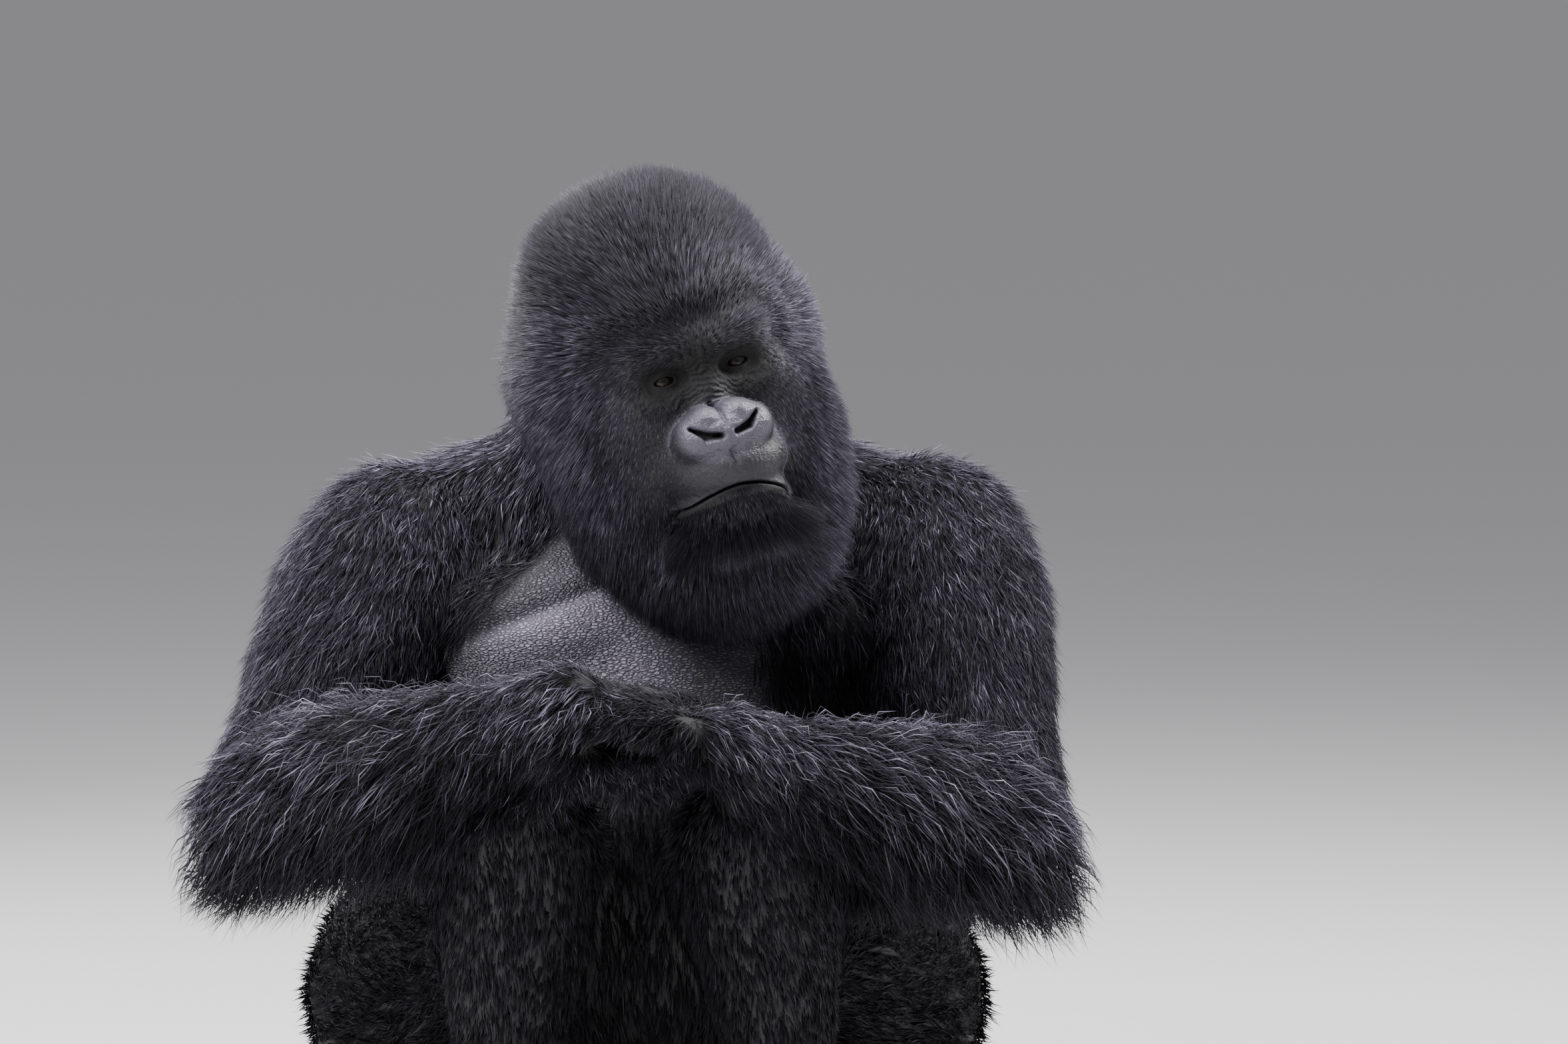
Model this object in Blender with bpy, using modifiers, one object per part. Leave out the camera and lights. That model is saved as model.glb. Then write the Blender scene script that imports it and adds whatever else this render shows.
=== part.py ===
"""A seated adult male mountain gorilla at life size, its arms folded over its raised knees.

The solids give the outline out to the tips of the coat. The animal faces -Y, +Z is up and its
own left side is at +X. Each body region is a fused mass of muscles, cut into named parts.
"""
import math

import bmesh
import bpy
from mathutils import Matrix, Vector

# Sizes in metres. The body frame has its middle plane at X = 0 and the floor at Z = 0.
GAP = 0.0003
RIGHT, LEFT = -1, 1
SIDE_NAMES = {RIGHT: "right", LEFT: "left"}

# Trunk: the middles of the main masses and their half sizes
RUMP = ((0.0, 0.130, 0.155), (0.245, 0.180, 0.170))
BELLY = ((0.0, 0.000, 0.270), (0.250, 0.220, 0.210))
LOINS = ((0.0, 0.175, 0.350), (0.245, 0.145, 0.260))
CHEST = ((0.0, 0.060, 0.480), (0.275, 0.190, 0.200))
BACK = ((0.0, 0.140, 0.540), (0.285, 0.155, 0.215))
BREAST_MUSCLE = ((0.112, -0.045, 0.555), (0.125, 0.090, 0.075))
SHOULDER_YOKE = ((0.120, 0.090, 0.655), (0.165, 0.120, 0.088))
WAIST_HEIGHT = 0.385

# Neck, running forward and up from the yoke into the head
NECK_ROOT = Vector((0.0, 0.105, 0.680))
NECK_TOP = Vector((0.000, -0.010, 0.780))
NECK_RADII = (0.172, 0.128)
NECK_CUT_HEIGHT = 0.700

# Limb joints and the thickness of the limbs round them
SHOULDER = {RIGHT: Vector((-0.247, 0.055, 0.592)), LEFT: Vector((0.247, 0.060, 0.598))}
ELBOW = {RIGHT: Vector((-0.376, -0.175, 0.392)), LEFT: Vector((0.330, -0.170, 0.372))}
WRIST = {RIGHT: Vector((-0.085, -0.335, 0.507)), LEFT: Vector((0.060, -0.318, 0.466))}
ELBOW_FRINGE_DROP = Vector((0.036, 0.040, -0.072))
FOREARM_FRINGE_DROP = Vector((0.010, 0.012, -0.048))
FOREARM_FRINGE_END = 0.55
HIP = {RIGHT: Vector((-0.200, 0.075, 0.172)), LEFT: Vector((0.165, 0.075, 0.172))}
KNEE = {RIGHT: Vector((-0.132, -0.235, 0.368)), LEFT: Vector((0.090, -0.235, 0.368))}
ANKLE = {RIGHT: Vector((-0.150, -0.260, 0.085)), LEFT: Vector((0.125, -0.260, 0.085))}
SHOULDER_RADIUS = 0.124
UPPER_ARM_RADIUS = 0.094
ELBOW_RADIUS = 0.072
FOREARM_RADIUS = 0.066
WRIST_RADIUS = 0.046
HIP_RADIUS = 0.168
THIGH_RADIUS = 0.128
KNEE_RADIUS = 0.082
CALF_RADIUS = 0.076
ANKLE_RADIUS = 0.048

# Hands and feet
HAND_ALONG = {RIGHT: Vector((0.95, 0.22, -0.16)), LEFT: Vector((-0.93, 0.28, -0.14))}
HAND_PALM = {RIGHT: Vector((-0.10, 0.20, -0.97)), LEFT: Vector((0.0, 0.15, -0.97))}
PALM_LENGTH = 0.112
PALM_WIDTH = 0.104
PALM_THICKNESS = 0.046
FINGER_BONES = (0.050, 0.036, 0.026)
FINGER_RADIUS = 0.0165
FINGER_CURLS = (8, 32, 58)
FINGER_REACH = (0.90, 1.0, 0.97, 0.86)
FOOT_LENGTH = 0.285
FOOT_SPLAY = {RIGHT: 14, LEFT: -14}
TOE_RADIUS = 0.0145

# Head, in its own frame: the point between the pupils is its origin, -Y is straight ahead
EYES_MIDDLE = Vector((0.040, -0.222, 0.812))
HEAD_TURN = 16
HEAD_ROLL = 15
EYE_SPACING = 0.074
EYE_RADIUS = 0.0128
BRAIN_CASE = ((0.0, 0.134, 0.010), (0.165, 0.142, 0.145))
CREST_DOME = ((0.0, 0.132, 0.084), (0.134, 0.122, 0.119))
NAPE = ((0.0, 0.190, -0.030), (0.145, 0.110, 0.145))
JAW_MUSCLE = ((0.076, 0.096, -0.085), (0.082, 0.086, 0.120))
THROAT = ((0.0, 0.074, -0.165), (0.122, 0.080, 0.096))
FOREHEAD = ((0.0, 0.058, 0.060), (0.106, 0.066, 0.066))
CHEEK = ((0.064, 0.042, -0.030), (0.040, 0.042, 0.050))
FACE = ((0.0, 0.040, -0.040), (0.085, 0.052, 0.085))
BROW = ((0.036, 0.012, 0.031), (0.046, 0.032, 0.020))
NOSE_BRIDGE = ((0.0, 0.008, -0.030), (0.020, 0.024, 0.040))
MUZZLE = ((0.0, -0.002, -0.092), (0.062, 0.056, 0.038))
NOSE_WING = ((0.027, -0.032, -0.070), (0.024, 0.022, 0.021))
NOSE_TIP = ((0.0, -0.036, -0.064), (0.019, 0.021, 0.021))
LOWER_LIP = ((0.0, 0.002, -0.126), (0.052, 0.052, 0.024))
CHIN = ((0.0, 0.020, -0.152), (0.070, 0.060, 0.044))
MOUTH_HALF_WIDTH = 0.058
MOUTH_HEIGHT = -0.1035
MOUTH_DROOP = 0.022
MOUTH_GROOVE = 0.004
MUZZLE_FRONT = -0.056
NOSTRIL_OUT = 0.020
NOSTRIL_HEIGHT = -0.066
EAR_PLACE = Vector((0.149, 0.112, 0.016))
EAR_HEIGHT = 0.056
EAR_WIDTH = 0.040
EAR_THICKNESS = 0.022

# How finely each mass is faceted
TRIANGLES = {"coat": 1500, "head": 1800, "trunk": 740, "arm": 400, "hand": 380, "leg": 370, "foot": 300,
             "ear": 80, "groove": 150}

SKIN_COLOUR = (0.030, 0.028, 0.033, 1.0)
COAT_COLOUR = (0.022, 0.021, 0.026, 1.0)
SADDLE_COLOUR = (0.110, 0.108, 0.116, 1.0)
EYE_COLOUR = (0.060, 0.026, 0.012, 1.0)


def mirrored(place, side):
    """The same place on the given side of the middle plane."""
    x, y, z = place
    return Vector((side * x, y, z))


def ball(mass, centre, half_sizes, turn=None, around=24):
    """Add an ellipsoid to a mass, with the given number of facets around it."""
    made = bmesh.ops.create_uvsphere(mass, u_segments=around, v_segments=around // 2 + 1, radius=1.0)
    spread = Matrix.Diagonal((*half_sizes, 1.0))
    place = Matrix.Translation(centre) @ (turn or Matrix.Identity(4)) @ spread
    bmesh.ops.transform(mass, matrix=place, verts=made["verts"])


def paired_balls(mass, shape):
    """Add the same ellipsoid on both sides of the middle plane."""
    centre, half_sizes = shape
    for side in (RIGHT, LEFT):
        ball(mass, mirrored(centre, side), half_sizes)


def limb(mass, points, radii):
    """Add a rounded run of tapering lengths through the points."""
    for point, radius in zip(points, radii):
        ball(mass, point, (radius, radius, radius))
    for index in range(len(points) - 1):
        run = points[index + 1] - points[index]
        made = bmesh.ops.create_cone(mass, cap_ends=True, segments=20, radius1=radii[index],
                                     radius2=radii[index + 1], depth=run.length)
        turn = run.to_track_quat("Z", "Y").to_matrix().to_4x4()
        place = Matrix.Translation(points[index] + run / 2) @ turn
        bmesh.ops.transform(mass, matrix=place, verts=made["verts"])


def object_from(mass, name):
    """Turn a bmesh into an object of the scene and free it."""
    mesh = bpy.data.meshes.new(name)
    mass.to_mesh(mesh)
    mass.free()
    made = bpy.data.objects.new(name, mesh)
    bpy.context.scene.collection.objects.link(made)
    return made


def bake(piece):
    """Replace an object's mesh by the mesh that its modifiers give."""
    graph = bpy.context.evaluated_depsgraph_get()
    mesh = bpy.data.meshes.new_from_object(piece.evaluated_get(graph))
    piece.modifiers.clear()
    piece.data = mesh
    return piece


def fuse(mass, name, voxel, smoothing, triangles):
    """Fuse a mass of overlapping balls and limbs into one smooth closed solid."""
    piece = object_from(mass, name)
    remesh = piece.modifiers.new("fuse", "REMESH")
    remesh.mode = "VOXEL"
    remesh.voxel_size = voxel
    smooth = piece.modifiers.new("soften", "SMOOTH")
    smooth.factor = 0.5
    smooth.iterations = smoothing
    bake(piece)
    coarsen(piece, triangles)
    return piece


def coarsen(piece, triangles):
    """Reduce a solid to about the given number of triangles."""
    facets = sum(len(face.vertices) - 2 for face in piece.data.polygons)
    reduce = piece.modifiers.new("coarsen", "DECIMATE")
    reduce.ratio = min(1.0, triangles / facets)
    reduce.use_collapse_triangulate = True
    bake(piece)


def grown(piece, distance=GAP):
    """A copy of a solid, larger by the given distance all round, to cut its neighbours with."""
    cutter = piece.copy()
    cutter.data = piece.data.copy()
    bpy.context.scene.collection.objects.link(cutter)
    mass = bmesh.new()
    mass.from_mesh(cutter.data)
    mass.normal_update()
    moved = [vertex.co + vertex.normal * distance for vertex in mass.verts]
    for vertex, place in zip(mass.verts, moved):
        vertex.co = place
    mass.to_mesh(cutter.data)
    mass.free()
    return cutter


def cut_away(piece, cutter):
    """Cut one solid out of another, remove the cutter and keep the largest body left."""
    cut = piece.modifiers.new("cut", "BOOLEAN")
    cut.operation = "DIFFERENCE"
    cut.object = cutter
    bake(piece)
    bpy.data.objects.remove(cutter)
    keep_largest_body(piece)


def keep_largest_body(piece):
    """Remove the loose crumbs that a cut can leave."""
    mass = bmesh.new()
    mass.from_mesh(piece.data)
    waiting = set(mass.verts)
    bodies = []
    while waiting:
        edge_of_body = [waiting.pop()]
        body = set(edge_of_body)
        while edge_of_body:
            vertex = edge_of_body.pop()
            for edge in vertex.link_edges:
                other = edge.other_vert(vertex)
                if other in waiting:
                    waiting.discard(other)
                    body.add(other)
                    edge_of_body.append(other)
        bodies.append(body)
    largest = max(bodies, key=len)
    crumbs = [vertex for body in bodies if body is not largest for vertex in body]
    bmesh.ops.delete(mass, geom=crumbs, context="VERTS")
    bmesh.ops.triangulate(mass, faces=mass.faces[:])
    mass.to_mesh(piece.data)
    mass.free()


def trimmed(piece, name, point, normal):
    """A copy of a solid that keeps the side of a plane which the normal points to."""
    kept = piece.copy()
    kept.data = piece.data.copy()
    kept.name = name
    bpy.context.scene.collection.objects.link(kept)
    mass = bmesh.new()
    mass.from_mesh(kept.data)
    geometry = mass.verts[:] + mass.edges[:] + mass.faces[:]
    cut = bmesh.ops.bisect_plane(mass, geom=geometry, dist=1e-7, plane_co=point,
                                 plane_no=normal, clear_inner=True)
    rim = [item for item in cut["geom_cut"] if isinstance(item, bmesh.types.BMEdge)]
    bmesh.ops.triangle_fill(mass, use_beauty=True, use_dissolve=False, edges=rim)
    bmesh.ops.recalc_face_normals(mass, faces=mass.faces[:])
    bmesh.ops.triangulate(mass, faces=mass.faces[:])
    mass.to_mesh(kept.data)
    mass.free()
    keep_largest_body(kept)
    return kept


def divided(piece, point, normal, name_behind, name_ahead):
    """Divide a solid at a plane into two parts that nearly touch."""
    normal = normal.normalized()
    ahead = trimmed(piece, name_ahead, point + normal * GAP / 2, normal)
    behind = trimmed(piece, name_behind, point - normal * GAP / 2, -normal)
    bpy.data.objects.remove(piece)
    return behind, ahead


def stood_on_floor(piece):
    """Give a solid flats at floor level where it reaches below the floor."""
    name = piece.name
    kept = trimmed(piece, name + "_kept", Vector((0.0, 0.0, 0.0)), Vector((0.0, 0.0, 1.0)))
    bpy.data.objects.remove(piece)
    kept.name = name
    return kept


def material(name, colour, roughness):
    """A plain finish for one kind of part."""
    made = bpy.data.materials.new(name)
    made.use_nodes = True
    shader = made.node_tree.nodes["Principled BSDF"]
    shader.inputs["Base Color"].default_value = colour
    shader.inputs["Roughness"].default_value = roughness
    shader.inputs["Metallic"].default_value = 0.0
    return made


def head_place():
    """The turn and place of the head's own frame in the body frame."""
    turn = Matrix.Rotation(math.radians(HEAD_TURN), 4, "Z")
    roll = Matrix.Rotation(math.radians(-HEAD_ROLL), 4, "Y")
    return Matrix.Translation(EYES_MIDDLE) @ roll @ turn


def make_head():
    """The head: a smooth coat over skull and jaw, with brow, muzzle, lips and nose set on it."""
    coat = bmesh.new()
    for shape in (BRAIN_CASE, CREST_DOME, NAPE, FOREHEAD, THROAT):
        ball(coat, *shape)
    paired_balls(coat, JAW_MUSCLE)
    coat = fuse(coat, "coat", 0.008, 22, TRIANGLES["coat"])
    mass = bmesh.new()
    mass.from_mesh(coat.data)
    bpy.data.objects.remove(coat)
    for shape in (FACE, NOSE_BRIDGE, MUZZLE, NOSE_TIP, LOWER_LIP, CHIN):
        ball(mass, *shape)
    for shape in (CHEEK, BROW, NOSE_WING):
        paired_balls(mass, shape)
    head = fuse(mass, "head", 0.0045, 5, TRIANGLES["head"])
    for side in (RIGHT, LEFT):
        hollow = bmesh.new()
        centre = mirrored((EYE_SPACING / 2, -0.004, 0.001), side)
        ball(hollow, centre, (0.0175, 0.018, 0.0135), around=12)
        cut_away(head, object_from(hollow, "eye_hollow"))
        nostril = bmesh.new()
        centre = mirrored((NOSTRIL_OUT, -0.056, NOSTRIL_HEIGHT), side)
        ball(nostril, centre, (0.012, 0.010, 0.007), around=10)
        cut_away(head, object_from(nostril, "nostril"))
    cut_away(head, mouth_groove())
    return head


def mouth_groove():
    """The line between the lips, lowest at its two corners."""
    groove = bmesh.new()
    points = []
    for step in range(-5, 6):
        across = step / 5
        back = -MUZZLE_FRONT * (1 - math.sqrt(1 - 0.82 * across ** 2))
        points.append(Vector((MOUTH_HALF_WIDTH * across, MUZZLE_FRONT + back,
                              MOUTH_HEIGHT - MOUTH_DROOP * across ** 2)))
    limb(groove, points, [MOUTH_GROOVE] * len(points))
    return fuse(groove, "mouth_groove", 0.0015, 1, TRIANGLES["groove"])


def make_eye(side):
    """An eyeball."""
    mass = bmesh.new()
    centre = mirrored((EYE_SPACING / 2, EYE_RADIUS, 0.0), side)
    bmesh.ops.create_uvsphere(mass, u_segments=12, v_segments=6, radius=EYE_RADIUS)
    bmesh.ops.translate(mass, verts=mass.verts[:], vec=centre)
    return object_from(mass, "eye_" + SIDE_NAMES[side])


def make_ear(side):
    """A small round ear, cupped outward and lying back along the head."""
    centre = mirrored(EAR_PLACE, side)
    lean = Matrix.Rotation(math.radians(side * 24), 4, "Z")
    shell = bmesh.new()
    half_sizes = (EAR_THICKNESS / 2, EAR_WIDTH / 2, EAR_HEIGHT / 2)
    ball(shell, centre, half_sizes, lean)
    ear = fuse(shell, "ear_" + SIDE_NAMES[side], 0.003, 1, TRIANGLES["ear"])
    bowl = bmesh.new()
    outward = lean @ Vector((side * EAR_THICKNESS * 0.75, -0.003, 0.001))
    half_sizes = (EAR_THICKNESS * 0.45, EAR_WIDTH * 0.30, EAR_HEIGHT * 0.33)
    ball(bowl, centre + outward, half_sizes, lean, around=10)
    cut_away(ear, object_from(bowl, "ear_bowl"))
    return ear


def make_trunk():
    """Rump, belly, chest, back and shoulder yoke."""
    mass = bmesh.new()
    for shape in (RUMP, BELLY, LOINS, CHEST, BACK):
        ball(mass, *shape)
    for shape in (BREAST_MUSCLE, SHOULDER_YOKE):
        paired_balls(mass, shape)
    limb(mass, [NECK_ROOT, NECK_TOP], NECK_RADII)
    return fuse(mass, "trunk", 0.012, 20, TRIANGLES["trunk"])


def make_arm(side):
    """Shoulder, upper arm and forearm in one bent solid, with the long hair below the elbow."""
    mass = bmesh.new()
    shoulder, elbow, wrist = SHOULDER[side], ELBOW[side], WRIST[side]
    limb(mass, [shoulder, shoulder.lerp(elbow, 0.45), elbow],
         [SHOULDER_RADIUS, UPPER_ARM_RADIUS, ELBOW_RADIUS])
    limb(mass, [elbow, elbow.lerp(wrist, 0.3), wrist], [ELBOW_RADIUS, FOREARM_RADIUS, WRIST_RADIUS])
    elbow_tip = elbow + mirrored(ELBOW_FRINGE_DROP, side)
    limb(mass, [elbow, elbow_tip], [ELBOW_RADIUS, ELBOW_RADIUS * 0.8])
    fringe_end = elbow.lerp(wrist, FOREARM_FRINGE_END) + mirrored(FOREARM_FRINGE_DROP, side)
    limb(mass, [elbow_tip, fringe_end], [ELBOW_RADIUS * 0.8, FOREARM_RADIUS * 0.7])
    return fuse(mass, "arm_" + SIDE_NAMES[side], 0.008, 10, TRIANGLES["arm"])


def make_hand(side):
    """A broad palm with four bent fingers and a short thumb."""
    mass = bmesh.new()
    add_hand(mass, side)
    return fuse(mass, "hand_" + SIDE_NAMES[side], 0.0045, 3, TRIANGLES["hand"])


def add_hand(mass, side):
    """A broad palm with four curled fingers and a short thumb."""
    along = HAND_ALONG[side].normalized()
    palm_side = (HAND_PALM[side] - HAND_PALM[side].dot(along) * along).normalized()
    across = along.cross(palm_side)
    turn = Matrix((along, across, palm_side)).transposed().to_4x4()
    middle = WRIST[side] + along * PALM_LENGTH * 0.52
    ball(mass, middle, (PALM_LENGTH * 0.62, PALM_WIDTH / 2, PALM_THICKNESS / 2), turn)
    for finger, reach in enumerate(FINGER_REACH):
        offset = (finger - 1.5) * PALM_WIDTH * 0.245
        point = WRIST[side] + along * PALM_LENGTH * (0.98 - 0.03 * abs(finger - 1.2)) + across * offset
        points = [point]
        for bone, curl in zip(FINGER_BONES, FINGER_CURLS):
            angle = math.radians(curl)
            step = along * math.cos(angle) + palm_side * math.sin(angle)
            points.append(points[-1] + step * bone * reach)
        limb(mass, points, [FINGER_RADIUS * taper for taper in (1.12, 1.0, 0.95, 0.82)])
    root = WRIST[side] + along * 0.030 + across * PALM_WIDTH * 0.40
    tip = root + along * 0.045 + across * 0.016 + palm_side * 0.020
    limb(mass, [root, tip], [0.018, 0.013])


def make_leg(side):
    """Thigh, raised knee and shin in one bent solid."""
    mass = bmesh.new()
    hip, knee, ankle = HIP[side], KNEE[side], ANKLE[side]
    limb(mass, [hip, hip.lerp(knee, 0.45), knee], [HIP_RADIUS, THIGH_RADIUS, KNEE_RADIUS])
    limb(mass, [knee, knee.lerp(ankle, 0.35), ankle], [KNEE_RADIUS, CALF_RADIUS, ANKLE_RADIUS])
    return stood_on_floor(fuse(mass, "leg_" + SIDE_NAMES[side], 0.008, 10, TRIANGLES["leg"]))


def make_foot(side):
    """A flat foot, standing on its sole."""
    mass = bmesh.new()
    add_foot(mass, side)
    return stood_on_floor(fuse(mass, "foot_" + SIDE_NAMES[side], 0.0045, 3, TRIANGLES["foot"]))


def add_foot(mass, side):
    """A flat foot with four toes and a big toe that stands off like a thumb."""
    turn = Matrix.Rotation(math.radians(FOOT_SPLAY[side]), 3, "Z")
    forward = turn @ Vector((0.0, -1.0, 0.0))
    outward = turn @ Vector((side, 0.0, 0.0))
    up = Vector((0.0, 0.0, 1.0))
    heel = Vector((ANKLE[side].x, ANKLE[side].y, 0.0)) - forward * 0.030
    limb(mass, [heel + up * 0.034, heel + forward * 0.090 + up * 0.036,
                heel + forward * 0.165 + up * 0.028], [0.038, 0.042, 0.034])
    ball(mass, heel + forward * 0.150 + up * 0.020, (0.050, 0.062, 0.025), turn.to_4x4())
    for toe in range(4):
        offset = (toe - 0.9) * 0.0255
        root = heel + forward * (0.190 - 0.008 * toe) + outward * offset + up * 0.017
        middle = root + forward * 0.032 + up * 0.006
        tip = root + forward * (FOOT_LENGTH - 0.235 - 0.004 * toe) + up * -0.002
        limb(mass, [root, middle, tip], [TOE_RADIUS * 1.1, TOE_RADIUS, TOE_RADIUS * 0.86])
    root = heel + forward * 0.105 - outward * 0.036 + up * 0.021
    middle = root + forward * 0.042 - outward * 0.026 + up * 0.003
    tip = middle + forward * 0.040 - outward * 0.012 - up * 0.006
    limb(mass, [root, middle, tip], [0.025, 0.020, 0.0165])


def boxes_meet(first, second):
    """Whether the boxes round two solids overlap."""
    ranges = []
    for piece in (first, second):
        places = [vertex.co for vertex in piece.data.vertices]
        ranges.append([(min(p[axis] for p in places), max(p[axis] for p in places)) for axis in range(3)])
    return all(a[0] < b[1] and b[0] < a[1] for a, b in zip(*ranges))


def bend_plane(before, joint, after):
    """The direction across a bent limb at its joint, pointing to the far length."""
    return ((after - joint).normalized() - (before - joint).normalized()).normalized()


def build():
    """Make every part, clear of its neighbours, and centre the animal over its origin."""
    head = make_head()
    eyes = [make_eye(side) for side in (RIGHT, LEFT)]
    ears = [make_ear(side) for side in (RIGHT, LEFT)]
    for eye in eyes:
        cut_away(head, grown(eye))
    for ear in ears:
        cut_away(ear, grown(head))
    for piece in [head] + eyes + ears:
        piece.data.transform(head_place())

    trunk = stood_on_floor(make_trunk())
    for piece in [head] + ears:
        cut_away(trunk, grown(piece))
    placed = [trunk, head]
    limbs = []
    for make in (make_foot, make_leg, make_arm, make_hand):
        for side in (RIGHT, LEFT):
            solid = make(side)
            for neighbour in placed:
                if boxes_meet(solid, neighbour):
                    cut_away(solid, grown(neighbour))
            placed.append(solid)
            limbs.append(solid)
    feet, legs, arms, hands = limbs[0:2], limbs[2:4], limbs[4:6], limbs[6:8]

    body, neck = divided(trunk, Vector((0.0, 0.060, NECK_CUT_HEIGHT)), Vector((0.0, -0.45, 1.0)),
                         "body", "neck")
    abdomen, chest = divided(body, Vector((0.0, 0.0, WAIST_HEIGHT)), Vector((0.0, 0.10, 1.0)),
                             "abdomen", "chest")
    parts = [head] + eyes + ears + [neck, chest, abdomen] + hands + feet
    for side, arm, leg in zip((RIGHT, LEFT), arms, legs):
        name = SIDE_NAMES[side]
        across_elbow = bend_plane(SHOULDER[side], ELBOW[side], WRIST[side])
        parts += divided(arm, ELBOW[side], across_elbow, "upper_arm_" + name, "forearm_" + name)
        across_knee = bend_plane(HIP[side], KNEE[side], ANKLE[side])
        parts += divided(leg, KNEE[side], across_knee, "thigh_" + name, "shin_" + name)
    return parts


def finish(parts):
    """Centre the parts on their common box, give each its finish and file them together."""
    corners = [part.data.vertices[i].co for part in parts for i in range(len(part.data.vertices))]
    middle_x = (min(c.x for c in corners) + max(c.x for c in corners)) / 2
    middle_y = (min(c.y for c in corners) + max(c.y for c in corners)) / 2
    shift = Matrix.Translation((-middle_x, -middle_y, 0.0))
    animal = bpy.data.collections.new("gorilla")
    bpy.context.scene.collection.children.link(animal)
    finishes = {
        "coat": material("coat", COAT_COLOUR, 0.75),
        "saddle": material("silver_saddle", SADDLE_COLOUR, 0.75),
        "skin": material("bare_skin", SKIN_COLOUR, 0.5),
        "eye": material("eye", EYE_COLOUR, 0.1),
    }
    for part in parts:
        part.data.transform(shift)
        part.data.materials.clear()
        kind = part.name.split("_")[0]
        finish_of = {"eye": "eye", "ear": "skin", "hand": "skin", "foot": "skin", "abdomen": "saddle"}
        part.data.materials.append(finishes[finish_of.get(kind, "coat")])
        for holder in list(part.users_collection):
            holder.objects.unlink(part)
        animal.objects.link(part)


for leftover in list(bpy.data.objects):
    bpy.data.objects.remove(leftover)
finish(build())
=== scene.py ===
import math

import bmesh
import bpy
import numpy as np
from mathutils import Matrix, Vector, noise
from mathutils.bvhtree import BVHTree
from mathutils.kdtree import KDTree


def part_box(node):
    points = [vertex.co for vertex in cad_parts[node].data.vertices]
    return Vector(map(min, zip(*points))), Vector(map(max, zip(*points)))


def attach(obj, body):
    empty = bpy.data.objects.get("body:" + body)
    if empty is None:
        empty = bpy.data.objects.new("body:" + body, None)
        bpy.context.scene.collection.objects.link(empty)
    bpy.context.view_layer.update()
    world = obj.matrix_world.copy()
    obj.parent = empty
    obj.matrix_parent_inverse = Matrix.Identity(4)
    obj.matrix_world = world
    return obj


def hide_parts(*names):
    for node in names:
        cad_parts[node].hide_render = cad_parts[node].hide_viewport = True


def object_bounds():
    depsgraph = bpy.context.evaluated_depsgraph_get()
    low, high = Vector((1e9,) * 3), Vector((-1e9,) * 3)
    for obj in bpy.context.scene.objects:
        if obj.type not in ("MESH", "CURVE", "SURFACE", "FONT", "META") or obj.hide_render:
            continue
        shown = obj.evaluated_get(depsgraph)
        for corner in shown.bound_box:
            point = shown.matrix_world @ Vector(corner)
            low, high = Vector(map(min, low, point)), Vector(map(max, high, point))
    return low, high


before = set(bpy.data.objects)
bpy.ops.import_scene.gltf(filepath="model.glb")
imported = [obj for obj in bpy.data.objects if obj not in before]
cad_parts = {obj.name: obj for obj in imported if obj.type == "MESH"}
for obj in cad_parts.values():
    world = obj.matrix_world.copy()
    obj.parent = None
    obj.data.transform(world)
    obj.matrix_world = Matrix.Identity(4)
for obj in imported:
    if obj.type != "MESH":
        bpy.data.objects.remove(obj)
cad_low, cad_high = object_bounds()

# ---------------------------------------------------------------------------
# The body form. A museum model's skin is stretched over one carved form, so the skin
# here is one closed mesh too, melted from copies of the fleshy solids and then drawn in
# by the depth of the coat that will stand on it.
# ---------------------------------------------------------------------------
FLESH = [name for name in sorted(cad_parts) if not name.startswith(("eye", "ear"))]
OVERLAP = 0.0012
FORM_VOXEL = 0.0042
FACE_DEPTH = 0.002
BREAST_DEPTH = 0.004
HIDDEN_SKIN_KEPT = 0.19
COAT_DEPTH = {"head": 0.015, "neck": 0.020, "chest": 0.016, "abdomen": 0.018, "upper_arm": 0.019,
              "forearm": 0.017, "hand": 0.003, "thigh": 0.018, "shin": 0.012, "foot": 0.002}


def kind_of(name):
    """A node's name without its side."""
    return name.replace("_right", "").replace("_left", "")


def unit(vectors):
    """Rows of vectors brought to length one."""
    return vectors / np.maximum(np.linalg.norm(vectors, axis=-1, keepdims=True), 1e-9)


def ramp(values, start, end):
    """A smooth rise from 0 at start to 1 at end."""
    share = np.clip((values - start) / (end - start), 0, 1)
    return share * share * (3 - 2 * share)


def fall(values, start, end):
    """A smooth fall from 1 at start to 0 at end."""
    return 1 - ramp(values, start, end)


def bell(values, middle, width):
    """A bump of height 1 round the middle."""
    return np.exp(-((values - middle) / width) ** 2)


def node_mesh(name, swell):
    """A merged copy of one solid, swollen so that it overlaps its neighbours."""
    copy = bmesh.new()
    copy.from_mesh(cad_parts[name].data)
    bmesh.ops.remove_doubles(copy, verts=copy.verts[:], dist=1e-5)
    copy.normal_update()
    for vertex in copy.verts:
        vertex.co += vertex.normal * swell
    return copy


def added_object(name, mesh):
    """A mesh shown as an object at the origin."""
    made = bpy.data.objects.new(name, mesh)
    bpy.context.scene.collection.objects.link(made)
    return made


def made_piece(name, mass):
    """An object with the form of a bmesh, which is freed."""
    mesh = bpy.data.meshes.new(name)
    mass.to_mesh(mesh)
    mass.free()
    return added_object(name, mesh)


def dressed(piece, material):
    """Gives the piece smooth shading and its one material."""
    piece.data.polygons.foreach_set("use_smooth", [True] * len(piece.data.polygons))
    piece.data.materials.clear()
    piece.data.materials.append(material)


def finished(piece):
    """The piece with its modifiers made permanent."""
    graph = bpy.context.evaluated_depsgraph_get()
    mesh = bpy.data.meshes.new_from_object(piece.evaluated_get(graph))
    piece.modifiers.clear()
    piece.data = mesh
    return piece


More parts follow.
